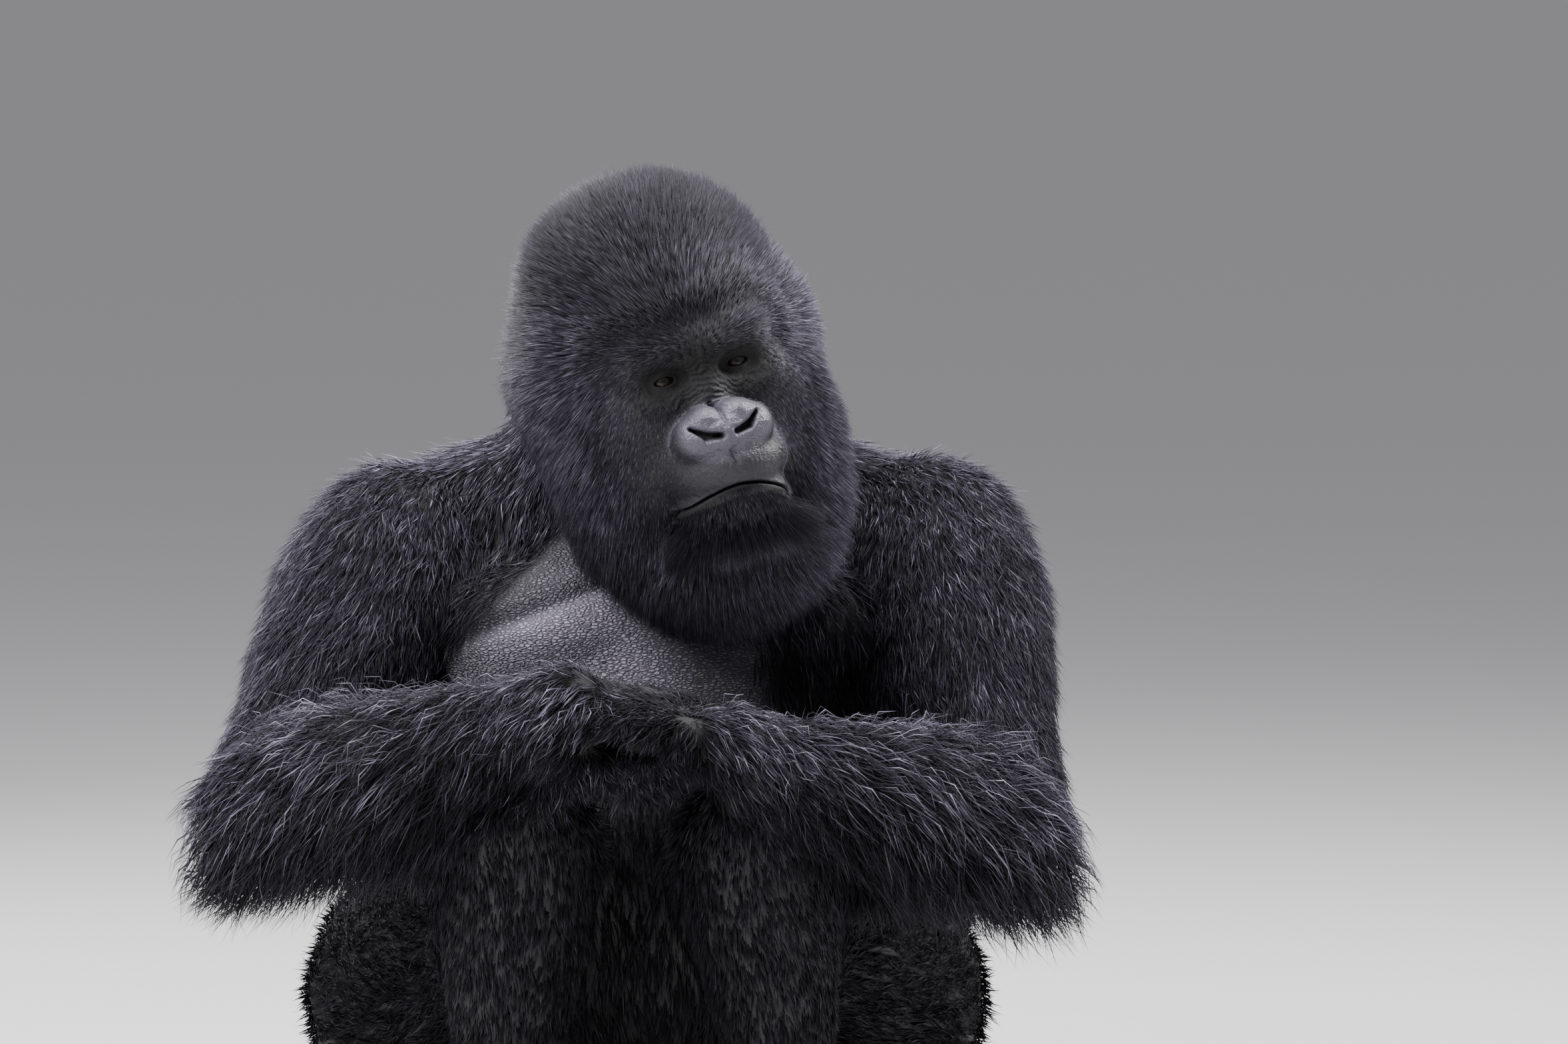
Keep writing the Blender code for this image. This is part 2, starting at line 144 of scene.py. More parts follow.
def rows(items, key, width, number_type=float):
    """One property of all points, edges or faces, a row for each."""
    flat = np.empty(len(items) * width, number_type)
    items.foreach_get(key, flat)
    return flat.reshape(-1, width)


def places(mesh):
    """Where the mesh's points are."""
    return rows(mesh.vertices, "co", 3)


def edge_pairs(mesh):
    """The two point numbers of each edge."""
    return rows(mesh.edges, "vertices", 2, np.int32)


def point_normals(mesh):
    """The way each point faces."""
    return rows(mesh.vertex_normals, "vector", 3)


def evened(values, pairs, rounds):
    """Values on points, averaged with their neighbours' several times."""
    columns = values.reshape(len(values), -1).copy()
    count = np.bincount(pairs.ravel(), minlength=len(columns))[:, None] + 1.0
    for _ in range(rounds):
        total = columns.copy()
        for axis in range(columns.shape[1]):
            total[:, axis] += np.bincount(pairs[:, 0], columns[pairs[:, 1], axis], len(columns))
            total[:, axis] += np.bincount(pairs[:, 1], columns[pairs[:, 0], axis], len(columns))
        columns = total / count
    return columns.reshape(values.shape)


def put_places(mesh, points):
    """Moves the mesh's points to the given rows."""
    mesh.vertices.foreach_set("co", points.ravel())
    mesh.update()


# the head's own frame: x to the animal's left, y to the back, z to the crown
HEAD_TURN = math.radians(16)
HEAD_ROLL = math.radians(-15)
EYE_RADIUS = 0.0128
EYE_CENTRE = {side: sum(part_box("eye_" + side), Vector()) / 2 for side in ("right", "left")}
head_turned = Matrix.Rotation(HEAD_ROLL, 3, "Y") @ Matrix.Rotation(HEAD_TURN, 3, "Z")
head_axes = np.array(head_turned)
eyes_middle = (EYE_CENTRE["right"] + EYE_CENTRE["left"]) / 2
head_origin = np.array(eyes_middle - head_turned @ Vector((0.0, EYE_RADIUS, 0.0)))


def to_head(points):
    """World places as places in the head's frame."""
    return (points - head_origin) @ head_axes


def from_head(points):
    """Places in the head's frame as world places."""
    return points @ head_axes.T + head_origin


# each solid's outside, to tell which part of the body a place belongs to
solid_points, solid_faces, face_owner = [], [], []
for index, name in enumerate(FLESH):
    solid = node_mesh(name, 0.0)
    start = len(solid_points)
    solid_points += [vertex.co.copy() for vertex in solid.verts]
    for face in solid.faces:
        solid_faces.append([start + vertex.index for vertex in face.verts])
        face_owner.append(index)
    solid.free()
solids_tree = BVHTree.FromPolygons(solid_points, solid_faces)
face_owner = np.array(face_owner)


def owners(points):
    """The number of the solid nearest to each place."""
    hits = [solids_tree.find_nearest(Vector(point))[2] for point in points]
    return face_owner[hits]


form_mesh = bpy.data.meshes.new("skin")
joined = bmesh.new()
for name in FLESH:
    swollen = node_mesh(name, OVERLAP)
    swollen.to_mesh(form_mesh)
    joined.from_mesh(form_mesh)
    swollen.free()
joined.to_mesh(form_mesh)
joined.free()
skin = added_object("skin", form_mesh)
melt = skin.modifiers.new("melt", "REMESH")
melt.mode = "VOXEL"
melt.voxel_size = FORM_VOXEL
finished(skin)

points = places(skin.data)
pairs = edge_pairs(skin.data)
points = evened(points, pairs, 5)
put_places(skin.data, points)
owner = owners(points)
kinds = np.array([kind_of(name) for name in FLESH])
kind = kinds[owner]
depth = np.array([COAT_DEPTH[k] for k in kind])
local = to_head(points)
on_head = kind == "head"

# the face is bare or nearly so, and the breast is bare
face_weight = ramp(-local[:, 1], -0.090, -0.020) * ramp(local[:, 2], -0.175, -0.120)
face_weight *= fall(local[:, 2], 0.015, 0.075)
face_weight *= fall(np.abs(local[:, 0]), 0.050, 0.115)
depth = np.where(on_head, depth * (1 - face_weight) + FACE_DEPTH * face_weight, depth)
BREAST_EDGE = np.array((-0.078, 0.656))
BREAST_EDGE_WAY = unit(np.array((0.745, -0.667)))
BREAST_FOLD = np.array((-0.065, 0.586))
BREAST_FOLD_WAY = unit(np.array((0.342, -0.940)))
normals = point_normals(skin.data)


def breast_share(points, normals):
    """How far a place lies in the bare breast, from 0 to 1."""
    flat = points[:, [0, 2]]
    share = ramp((flat - BREAST_EDGE) @ BREAST_EDGE_WAY, -0.004, 0.014)
    share *= ramp(flat[:, 1], 0.440, 0.480) * fall(flat[:, 0], 0.100, 0.150) * fall(flat[:, 1], 0.66, 0.72)
    return share * ramp(-normals[:, 1], 0.0, 0.3)


on_trunk = np.isin(kind, ("chest", "abdomen"))
bare_breast = breast_share(points, normals) * on_trunk
depth = depth * (1 - bare_breast) + BREAST_DEPTH * bare_breast

# joints of the limbs, in the axes of the body, with the middle of the eyes in the same axes
JOINTS = {
    "shoulder": {"right": (-0.247, 0.055, 0.592), "left": (0.247, 0.060, 0.598)},
    "elbow": {"right": (-0.376, -0.175, 0.392), "left": (0.330, -0.170, 0.372)},
    "wrist": {"right": (-0.085, -0.335, 0.507), "left": (0.060, -0.318, 0.466)},
    "hip": {"right": (-0.200, 0.075, 0.172), "left": (0.165, 0.075, 0.172)},
    "knee": {"right": (-0.132, -0.235, 0.368), "left": (0.090, -0.235, 0.368)},
    "ankle": {"right": (-0.150, -0.260, 0.085), "left": (0.125, -0.260, 0.085)},
}
EYES_AMONG_JOINTS = np.array((0.040, -0.222, 0.812))


def joint(name, side):
    """Where a joint is."""
    return np.array(JOINTS[name][side]) - EYES_AMONG_JOINTS + head_origin


# the arms are drawn in to their own flesh, as the fringe below each elbow is hair alone
drawn = -unit(evened(normals, pairs, 10)) * depth[:, None]
for side in ("right", "left"):
    for part, start, end, start_radius, end_radius in (("upper_arm_", "shoulder", "elbow", 0.106, 0.054),
                                                       ("forearm_", "elbow", "wrist", 0.056, 0.034)):
        chosen = np.nonzero(owner == FLESH.index(part + side))[0]
        first, run = joint(start, side), joint(end, side) - joint(start, side)
        share = np.clip((points[chosen] - first) @ run / (run @ run), 0, 1)[:, None]
        radial = points[chosen] - (first + share * run)
        size = np.linalg.norm(radial, axis=1, keepdims=True)
        bulge = 1 + 0.16 * np.sin(np.clip(share * 1.6, 0, 1) * math.pi)
        flesh = (start_radius + (end_radius - start_radius) * share) * bulge
        drawn[chosen] = -radial / size * np.clip(size - flesh, 0.004, 0.100)
points = points + evened(drawn, pairs, 12)
points = evened(points, pairs, 3)
# the fold of the breast, over a low mound
below_fold = (points[:, [0, 2]] - BREAST_FOLD) @ BREAST_FOLD_WAY
swell = 0.008 * bell(below_fold, 0.032, 0.026) - 0.007 * bell(below_fold, 0.0, 0.008)
points = points + normals * (swell * bare_breast)[:, None]
put_places(skin.data, points)

# hidden skin is kept coarse, and bare skin fine
kept = np.isin(kind, ("hand", "foot")) | ((face_weight > 0.02) & on_head) | (bare_breast > 0.05)
kept = evened(kept.astype(float), pairs, 4)
keep_group = skin.vertex_groups.new(name="kept")
for level in range(1, 11):
    members = np.nonzero(np.round(kept * 10) == level)[0]
    keep_group.add(members.tolist(), level / 10, "REPLACE")
thin = skin.modifiers.new("thin", "DECIMATE")
thin.ratio = HIDDEN_SKIN_KEPT
thin.vertex_group = "kept"
thin.invert_vertex_group = True
thin.vertex_group_factor = 8.0
finished(skin)
skin.vertex_groups.clear()


def refined(piece, chosen):
    """Cuts in four each face whose points are all chosen."""
    mass = bmesh.new()
    mass.from_mesh(piece.data)
    edges = set()
    for face in mass.faces:
        if all(chosen[vertex.index] for vertex in face.verts):
            edges.update(face.edges)
    bmesh.ops.subdivide_edges(mass, edges=list(edges), cuts=1, use_grid_fill=True)
    bmesh.ops.triangulate(mass, faces=[face for face in mass.faces if len(face.verts) > 4])
    mass.to_mesh(piece.data)
    mass.free()


def front_of_face(points, half_width, back, bottom, top):
    """True for the points in a box at the front of the head."""
    x, y, z = to_head(points).T
    return (y < back) & (np.abs(x) < half_width) & (z > bottom) & (z < top)


# ---------------------------------------------------------------------------
# The face. In a museum model it is modelled in wax or epoxy over the skull: heavy brow,
# deep eyes with folded lids, the broad heart-shaped nose pad with its two comma nostrils,
# the long upper lip and the down-turned mouth.
# ---------------------------------------------------------------------------
HEAD_REACH = 0.22
NOSE_MIDDLE = -0.004
NOSTRIL_DEPTH = 0.0130
MOUTH_DEPTH = 0.0065
OPENING_ROUNDS = 40
OPENING_STEP = 0.0012
MOUTH_MIDDLE = -0.006
MOUTH_HALF_WIDTH = 0.061
MOUTH_HEIGHT = -0.109
MOUTH_DROOP = 0.025


def ellipsoid(points, centre, half_sizes):
    """How far each place is outside an ellipsoid, nearly."""
    moved = points - np.array(centre)
    near = np.linalg.norm(moved / np.array(half_sizes), axis=1)
    far = np.linalg.norm(moved / np.array(half_sizes) ** 2, axis=1)
    return near * (near - 1) / np.maximum(far, 1e-6)


def rod(points, start, end, start_radius, end_radius):
    """How far each place is outside a rod with round ends."""
    start, end = np.array(start), np.array(end)
    run = end - start
    share = np.clip((points - start) @ run / (run @ run), 0, 1)
    nearest = start + share[:, None] * run
    return np.linalg.norm(points - nearest, axis=1) - (start_radius + (end_radius - start_radius) * share)


def joined_smoothly(first, second, softness):
    """Two shapes added, with a fillet as wide as softness."""
    share = np.clip(0.5 + 0.5 * (second - first) / softness, 0, 1)
    return second + (first - second) * share - softness * share * (1 - share)


def with_lumps(shape, points, lumps):
    """The shape with ellipsoids added, each given by its centre, half sizes and softness."""
    for centre, half_sizes, softness in lumps:
        shape = joined_smoothly(shape, ellipsoid(points, centre, half_sizes), softness)
    return shape


def carved_smoothly(body, tool, softness):
    """The tool taken out of the body, with a rounded rim."""
    return -joined_smoothly(-body, tool, softness)


def mouth_line(x):
    """The height of the line between the lips."""
    return MOUTH_HEIGHT - MOUTH_DROOP * np.abs((x - MOUTH_MIDDLE) / MOUTH_HALF_WIDTH) ** 1.8


def stroke(points, start, end, start_width, end_width):
    """How far each place is from a line drawn on the face, seen from in front."""
    flat = points[:, [0, 2]]
    start, end = np.array(start), np.array(end)
    run = end - start
    share = np.clip((flat - start) @ run / (run @ run), 0, 1)
    nearest = start + share[:, None] * run
    return np.linalg.norm(flat - nearest, axis=1) - (start_width + (end_width - start_width) * share)


def sunk(body, outline, depth, softness):
    """The body with an outline sunk into it to a depth."""
    return carved_smoothly(body, np.maximum(outline, -body - depth), softness)


def nostril_outline(side_points):
    """How far each place is outside one nostril, seen from in front; a comma lying on its side."""
    outer = stroke(side_points, (0.0335, -0.0475), (0.0215, -0.0570), 0.0006, 0.0030)
    inner = stroke(side_points, (0.0215, -0.0570), (0.0078, -0.0598), 0.0030, 0.0020)
    return joined_smoothly(outer, inner, 0.0015)


def mouth_gap(points):
    """How far each place is from the line between the lips, seen from in front."""
    gap = np.full(len(points), 1.0)
    for step in range(-10, 10):
        ends = [MOUTH_MIDDLE + MOUTH_HALF_WIDTH * share for share in (step / 10, (step + 1) / 10)]
        gap = np.minimum(gap, stroke(points, *[(end, mouth_line(end)) for end in ends], 0.0, 0.0))
    return gap


def face_shape(points, openings):
    """The distance outside the face, in the head's frame; negative inside it."""
    mirror = points * (-1, 1, 1)
    # skull, crown, forehead, throat and muzzle
    shape = with_lumps(ellipsoid(points, (0.0, 0.134, 0.010), (0.150, 0.128, 0.131)), points, (
        ((0.0, 0.132, 0.084), (0.118, 0.106, 0.102), 0.030),
        ((0.0, 0.062, 0.052), (0.092, 0.052, 0.052), 0.034),
        ((0.0, 0.074, -0.155), (0.098, 0.060, 0.080), 0.030),
        ((0.0, 0.040, -0.040), (0.083, 0.051, 0.084), 0.016)))
    for side_points in (points, mirror):
        # jaw muscle and cheekbone
        shape = with_lumps(shape, side_points, (
            ((0.070, 0.094, -0.080), (0.070, 0.076, 0.105), 0.020),
            ((0.060, 0.036, -0.030), (0.036, 0.036, 0.040), 0.016)))
        # the brow bar, with a furrow in the middle, overhanging the eyes
        shape = joined_smoothly(shape, rod(side_points, (0.013, 0.001, 0.0225), (0.055, 0.010, 0.0255),
                                           0.0145, 0.0160), 0.026)
    # nose bridge, upper lip, lower lip and chin
    shape = with_lumps(shape, points, (
        ((0.0, 0.006, -0.026), (0.019, 0.024, 0.038), 0.010),
        ((0.0, -0.002, -0.092), (0.057, 0.055, 0.034), 0.026),
        ((0.0, 0.001, -0.124), (0.050, 0.050, 0.023), 0.010),
        ((-0.002, 0.020, -0.150), (0.054, 0.052, 0.036), 0.018)))

    # eyelids: a thin shell over each eyeball, slit open
    for side_points in (points, mirror):
        centre = np.array((0.037, EYE_RADIUS, 0.0))
        socket = ellipsoid(side_points, (0.037, -0.006, -0.001), (0.021, 0.013, 0.012))
        shape = carved_smoothly(shape, socket, 0.006)
        lids = np.linalg.norm(side_points - centre, axis=1) - (EYE_RADIUS + 0.0024)
        shape = joined_smoothly(shape, lids, 0.008)
        under_bag = rod(side_points, (0.022, 0.0035, -0.0165), (0.052, 0.007, -0.0145), 0.0045, 0.0040)
        shape = joined_smoothly(shape, under_bag, 0.005)
        if openings:
            slit = ellipsoid(side_points, (0.037, -0.004, -0.0005), (0.0112, 0.0155, 0.0043))
            shape = carved_smoothly(shape, slit, 0.0016)

    # the nose pad: a broad cushion with two wings and two upper lobes, set off from the lip
    nose = ellipsoid(points, (NOSE_MIDDLE, -0.030, -0.0600), (0.041, 0.0310, 0.0260))
    from_middle = points - (NOSE_MIDDLE, 0, 0)
    for side_points in (from_middle, from_middle * (-1, 1, 1)):
        nose = with_lumps(nose, side_points, (
            ((0.0275, -0.0310, -0.0590), (0.0225, 0.0235, 0.0225), 0.008),
            ((0.0165, -0.0320, -0.0430), (0.0170, 0.0230, 0.0135), 0.005)))
    shape = joined_smoothly(shape, nose, 0.0075)
    if not openings:
        return shape
    # nostrils, the notch between the lobes and the groove down to the lip
    for side_points in (from_middle, from_middle * (-1, 1, 1)):
        nostril = nostril_outline(side_points)
        shape = shape - 0.0012 * bell(nostril, 0.0065, 0.0030) * (side_points[:, 1] < 0)
        shape = sunk(shape, nostril, NOSTRIL_DEPTH, 0.0070)
    notch = stroke(from_middle, (0.0, -0.0310), (0.0, -0.0530), 0.0018, 0.0004)
    groove = stroke(from_middle, (0.0, -0.0760), (0.001, -0.0870), 0.0006, 0.0004)
    shape = sunk(sunk(shape, notch, 0.0040, 0.0050), groove, 0.0012, 0.0060)

    # the lips: a low rim over the mouth's line, and the line itself
    mouth = mouth_gap(points)
    above = points[:, 2] > mouth_line(points[:, 0])
    rim = np.where(above, 0.0030, -0.0006) * bell(mouth, 0.0058, 0.0028)
    return sunk(shape - rim, mouth - 0.0010, MOUTH_DEPTH, 0.0034)


def wave(values, length):
    """A sine wave of the given length."""
    return np.sin(values * 2 * math.pi / length)


def noise_at(points, scale, shift=(0, 0, 0)):
    """Smooth noise at each place, about zero."""
    return np.array([noise.noise(Vector(point) * scale + Vector(shift)) for point in points])


def folds(points):
    """The height of the small folds and creases."""
    x, y, z = points.T
    wander = noise_at(points, 55) + 0.5 * noise_at(points, 120)
    patchy = ramp(noise_at(points, 42, (5, 1, 2)), -0.35, 0.35)
    # creases across the bridge of the nose, and upright furrows between the brows
    bridge = bell(x, 0.0, 0.017) * ramp(z, -0.046, -0.030) * fall(z, 0.012, 0.024)
    height = 0.0005 * (0.3 + patchy) * bridge * wave(z + 0.0050 * wander + 0.18 * np.abs(x), 0.0058)
    furrow = bell(z, 0.024, 0.014) * bell(x, 0.0, 0.014)
    height += 0.0010 * furrow * np.cos(x * 2 * math.pi / 0.0085)
    for side in (-1, 1):
        # curved creases under and beside the eyes
        away = np.hypot((x * side - 0.037) * 0.80, z - 0.003)
        ring = ramp(away, 0.015, 0.018) * fall(away, 0.030, 0.037) * fall(z, -0.002, 0.010)
        height += 0.0005 * patchy * ring * wave(away + 0.0070 * wander, 0.0052)
    for side in (-1, 1):
        # creases running down from the wings of the nose and round the corners of the mouth
        away = np.hypot(x * side - 0.030, (z + 0.118) * 0.9)
        ring = ramp(away, 0.024, 0.028) * fall(away, 0.037, 0.043) * ramp(x * side, 0.030, 0.045)
        height += 0.0006 * patchy * ring * wave(away + 0.0030 * wander, 0.0060)
    # fine upright lines on the upper lip
    lines = ramp(z, -0.128, -0.104) * fall(z, -0.092, -0.084) * fall(np.abs(x), 0.040, 0.055)
    height += 0.00018 * lines * patchy * wave(x + 0.0030 * wander, 0.0046)
    return height + 0.00030 * noise_at(points, 200) * ramp(-y, -0.05, 0.0)


def moved_onto_face(piece, rounds, loosening):
    """Draws the points of the face region onto the face's shape, before its openings are made."""
    mesh = piece.data
    points = places(mesh)
    pairs = edge_pairs(mesh)
    weight = face_reach(to_head(points))
    chosen = np.nonzero(weight > 0.001)[0]
    grip = weight[chosen][:, None]
    points[chosen] += (evened(points, pairs, loosening)[chosen] - points[chosen]) * grip
    for step in range(rounds):
        local = to_head(points[chosen])
        reach = 0.0004
        value = face_shape(local, False)
        slope = [face_shape(local + aside * reach, False) - value for aside in np.eye(3)]
        slope = np.stack(slope, 1) / reach
        slope_size = np.maximum((slope ** 2).sum(1, keepdims=True), 0.25)
        local = local - np.clip(value, -0.004, 0.004)[:, None] * slope / slope_size * grip
        points[chosen] = from_head(local)
        if step < rounds - 2:
            points[chosen] += (evened(points, pairs, 1)[chosen] - points[chosen]) * 0.5 * grip
    put_places(mesh, points)


def face_reach(local):
    """Where the face's shape holds, fading out into the head."""
    x, y, z = local.T
    weight = fall(y, 0.030, 0.070) * fall(z, 0.036, 0.080)
    return weight * ramp(z, -0.172, -0.150) * fall(np.abs(x), 0.085, 0.105)


moved_onto_face(skin, 12, 25)
# the band where the face fades into the head is smoothed
points = places(skin.data)
weight = face_reach(to_head(points))
edge = np.clip(4 * weight * (1 - weight), 0, 1) * (np.linalg.norm(to_head(points), axis=1) < HEAD_REACH)
pairs = edge_pairs(skin.data)
edge = evened(edge, pairs, 4)[:, None]
points = points + (evened(points, pairs, 22) - points) * np.clip(edge * 1.6, 0, 1)
put_places(skin.data, points)
# first the whole face is cut finer, then the parts round the eyes, nose and mouth once more
refined(skin, front_of_face(places(skin.data), 0.092, 0.045, -0.160, 0.052))
moved_onto_face(skin, 5, 2)
refined(skin, front_of_face(places(skin.data), 0.070, 0.020, -0.140, 0.030))
moved_onto_face(skin, 4, 1)
points = places(skin.data)
weight = face_reach(to_head(points))
chosen = np.nonzero(weight > 0.9)[0]
local = to_head(points[chosen])
for step in range(OPENING_ROUNDS):
    # the openings are sunk straight back, so that none of the skin is pushed out through them
    local[:, 1] += np.clip(face_shape(local, True), 0.0, OPENING_STEP)
points[chosen] = from_head(local)
put_places(skin.data, points)
local = to_head(points)
creased = face_reach(local) > 0.3
rise = np.zeros(len(points))
rise[creased] = folds(local[creased])
put_places(skin.data, points + point_normals(skin.data) * rise[:, None])

# ---------------------------------------------------------------------------
# The skin's finish: near-black painted hide, matt under the coat, glossy on the nose pad,
# and grey and pebbled in rows over the bare breast.
# Painted light and shade lie on the bare breast, the lip and the nose pad, and painted shade in the face's
# hollows and on the hands.
# ---------------------------------------------------------------------------


def stored(mesh, name, values):
    """Keeps one number for each point under a name that materials can read."""
    attribute = mesh.attributes.new(name, "FLOAT", "POINT")
    attribute.data.foreach_set("value", np.ascontiguousarray(values, np.float32))


def saddle_share(points):
    """How silver the coat and the skin are at each place."""
    back = ramp(points[:, 1], 0.130, 0.290)
    band = ramp(points[:, 2], 0.130, 0.300) * fall(points[:, 2], 0.530, 0.660)
    return back * band * fall(np.abs(points[:, 0] - 0.02), 0.230, 0.330)


points = places(skin.data)
normals = point_normals(skin.data)
local = to_head(points)
pairs = edge_pairs(skin.data)
owner = owners(points)
kind = kinds[owner]
on_head = kind == "head"
x, y, z = local.T
pad = fall(np.hypot((x - NOSE_MIDDLE) / 0.051, (z + 0.057) / 0.033), 0.74, 1.02) * on_head * (y < 0.0)
over_mouth = z - mouth_line(x)
lip = ramp(over_mouth, -0.004, -0.001) * fall(z, -0.078, -0.066)
lip *= fall(np.abs(x - MOUTH_MIDDLE), 0.043, 0.058)
lip *= on_head * (y < 0.015)
# painted light and shade: the upper lip is palest along its lit edge over the mouth's line and darker up
# under the nose pad
lip_painted_light_and_shade = lip * (0.40 + 0.60 * fall(over_mouth, 0.008, 0.026))
breast = breast_share(points, normals) * np.isin(kind, ("chest", "abdomen"))
# painted shade: the skin is darkened in the sockets and between the brows, in the openings, on the chin and
# on the hands, where shade falls
socket_gap = np.minimum(np.hypot(np.abs(x) - 0.036, (z + 0.004) * 1.1), np.hypot(x, z - 0.012))
chin = fall(over_mouth, -0.004, 0.0) * ramp(z, -0.170, -0.150) * fall(np.abs(x), 0.05, 0.08)
gloom = fall(socket_gap, 0.016, 0.046) * on_head * (y < 0.05)
# painted shade on the hair round the eyes and under the mouth
face_hair_painted_shade = np.maximum(gloom, 0.65 * chin * on_head * (y < 0.04))
for side in (-1, 1):
    nostril = nostril_outline((local - (NOSE_MIDDLE, 0, 0)) * (side, 1, 1))
    gloom = np.maximum(gloom, fall(nostril, -0.0010, 0.0022) * on_head * (y < 0.0))
for dark in (fall(mouth_gap(local), 0.0008, 0.0026) * on_head * (y < 0.02),
             0.9 * chin * on_head * (y < 0.04), 0.8 * (kind == "hand")):
    gloom = np.maximum(gloom, dark)
# painted shade on the skin round the wrists, which lie in shade under the forearms' hair
for side in ("right", "left"):
    off_wrist = ramp(np.linalg.norm(points - joint("wrist", side), axis=1), 0.060, 0.110)
    gloom = np.maximum(gloom, 0.9 * (1 - off_wrist) * np.isin(kind, ("hand", "forearm")))
# painted light and shade on the bare breast: palest above its edge and on the lit mound below the fold,
# darker to the animal's left under the beard and above the fold
breast_tone = ramp((points[:, [0, 2]] - BREAST_EDGE) @ BREAST_EDGE_WAY, -0.005, 0.060)
breast_tone *= 1 - 0.75 * ramp(points[:, 0], -0.020, 0.070)
breast_tone *= 0.50 + 0.50 * ramp((points[:, [0, 2]] - BREAST_FOLD) @ BREAST_FOLD_WAY, -0.004, 0.012)
bare_limbs = evened(np.isin(kind, ("hand", "foot")).astype(float), pairs, 3)
for mark, values in (("nose", pad), ("lip", lip_painted_light_and_shade), ("breast", breast),
                     ("breast_tone", breast * (0.06 + 0.94 * breast_tone)), ("gloom", gloom),
                     ("silver", saddle_share(points)), ("paw", bare_limbs)):
    stored(skin.data, mark, values)


class Finish:
    """A material and its nodes, wired by name."""

    def __init__(self, name):
        self.material = bpy.data.materials.new(name)
        self.material.use_nodes = True
        self.nodes = self.material.node_tree.nodes
        self.links = self.material.node_tree.links
        self.shader = self.nodes["Principled BSDF"]

    def add(self, kind, settings=None, **inputs):
        """A new node; its inputs go by the socket's name, with _ for a space, or by i and its number."""
        node = self.nodes.new(kind)
        for key, value in (settings or {}).items():
            setattr(node, key, value)
        for key, value in inputs.items():
            numbered = key[0] == "i" and key[1:].isdigit()
            self.wire(node, int(key[1:]) if numbered else key.replace("_", " "), value)
        return node

    def wire(self, node, key, value):
        """Sets one input to a value, or links it to a socket or to a number named on the mesh."""
        socket = node.inputs[key]
        if isinstance(value, str):
            value = self.add("ShaderNodeAttribute", {"attribute_name": value}).outputs["Fac"]
        if isinstance(value, bpy.types.NodeSocket):
            self.links.new(value, socket)
        else:
            socket.default_value = value

    def surface(self, **inputs):
        """Sets or links the surface's inputs, each by its name with _ for a space."""
        for key, value in inputs.items():
            self.wire(self.shader, key.replace("_", " "), value)

    def maths(self, operation, first, second):
        """Arithmetic on two numbers."""
        return self.add("ShaderNodeMath", {"operation": operation}, i0=first, i1=second).outputs[0]

    def times(self, first, second):
        """The product of two numbers."""
        return self.maths("MULTIPLY", first, second)

    def plus(self, first, second):
        """The sum of two numbers."""
        return self.maths("ADD", first, second)

    def mixed(self, share, first, second):
        """Two colours mixed."""
        node = self.add("ShaderNodeMix", {"data_type": "RGBA"})
        self.wire(node, 0, share)
        self.wire(node, 6, first)
        self.wire(node, 7, second)
        return node.outputs[2]

    def place(self, scale):
        """The object's own coordinates, stretched."""
        where = self.add("ShaderNodeTexCoord").outputs["Object"]
        return self.add("ShaderNodeMapping", None, Vector=where, Scale=scale).outputs["Vector"]

    def stepped(self, value, stops):
        """A number turned into a colour by stops of position and colour."""
        node = self.add("ShaderNodeValToRGB", None, Fac=value)
        elements = node.color_ramp.elements
        while len(elements) < len(stops):
            elements.new(0.5)
        for element, (position, colour) in zip(elements, stops):
            element.position = position
            element.color = (*colour, 1.0)
        return node.outputs["Color"]


hide = Finish("hide")
blotch = hide.add("ShaderNodeTexNoise", None, Vector=hide.place((1, 1, 1)), Scale=38.0, Detail=4.0)
mottled = hide.stepped(blotch.outputs["Fac"], [(0.3, (0.005, 0.0046, 0.0060)),
                                               (0.7, (0.013, 0.0122, 0.0160))])
paws = hide.mixed("paw", mottled, (0.0085, 0.0078, 0.0095, 1))
# the nose pad is painted a far paler grey than the hide round it, partly as painted light
pads = hide.mixed("nose", paws, (0.100, 0.093, 0.121, 1))
# painted light: the upper lip's grey is palest along its lit edge
lips = hide.mixed(hide.times("lip", 0.8), pads, (0.032, 0.0298, 0.0380, 1))
# low pebbles on the breast, drawn out across it; their pale grey is partly painted light, and the cracks
# between them hold painted shade
pebble = hide.add("ShaderNodeTexVoronoi", {"feature": "DISTANCE_TO_EDGE"}, Vector=hide.place((0.8, 1, 1.7)),
                  Scale=235.0).outputs["Distance"]
pebbled = hide.stepped(pebble, [(0.0, (0.210, 0.194, 0.237)), (0.30, (0.600, 0.558, 0.670))])
# painted light and shade: the pebbled grey is strongest on the lit mound of the breast and fades where
# shade falls
breasts = hide.mixed("breast_tone", lips, pebbled)
silvered = hide.mixed(hide.times("silver", 0.15), breasts, (0.060, 0.058, 0.064, 1))
# painted shade: the hide is darkened towards black in the sockets, openings, chin, hands and wrists
darkened = hide.mixed(hide.times("gloom", 0.95), silvered, (0.0015, 0.0014, 0.0018, 1))
gloss = hide.plus(0.56, hide.times("nose", -0.24))
patchy = hide.times(hide.plus(blotch.outputs["Fac"], -0.5), 0.16)
dulled = hide.times("gloom", 0.25)
roughness = hide.plus(hide.plus(gloss, patchy), dulled)
pores = hide.add("ShaderNodeTexVoronoi", None, Vector=hide.place((1, 1, 1)), Scale=620.0)
crazing = hide.add("ShaderNodeTexVoronoi", {"feature": "DISTANCE_TO_EDGE"}, Vector=hide.place((1, 1, 1.6)),
                   Scale=210.0)
rough_height = hide.plus(hide.times(pores.outputs["Distance"], 0.5),
                         hide.maths("MINIMUM", crazing.outputs["Distance"], 0.12))
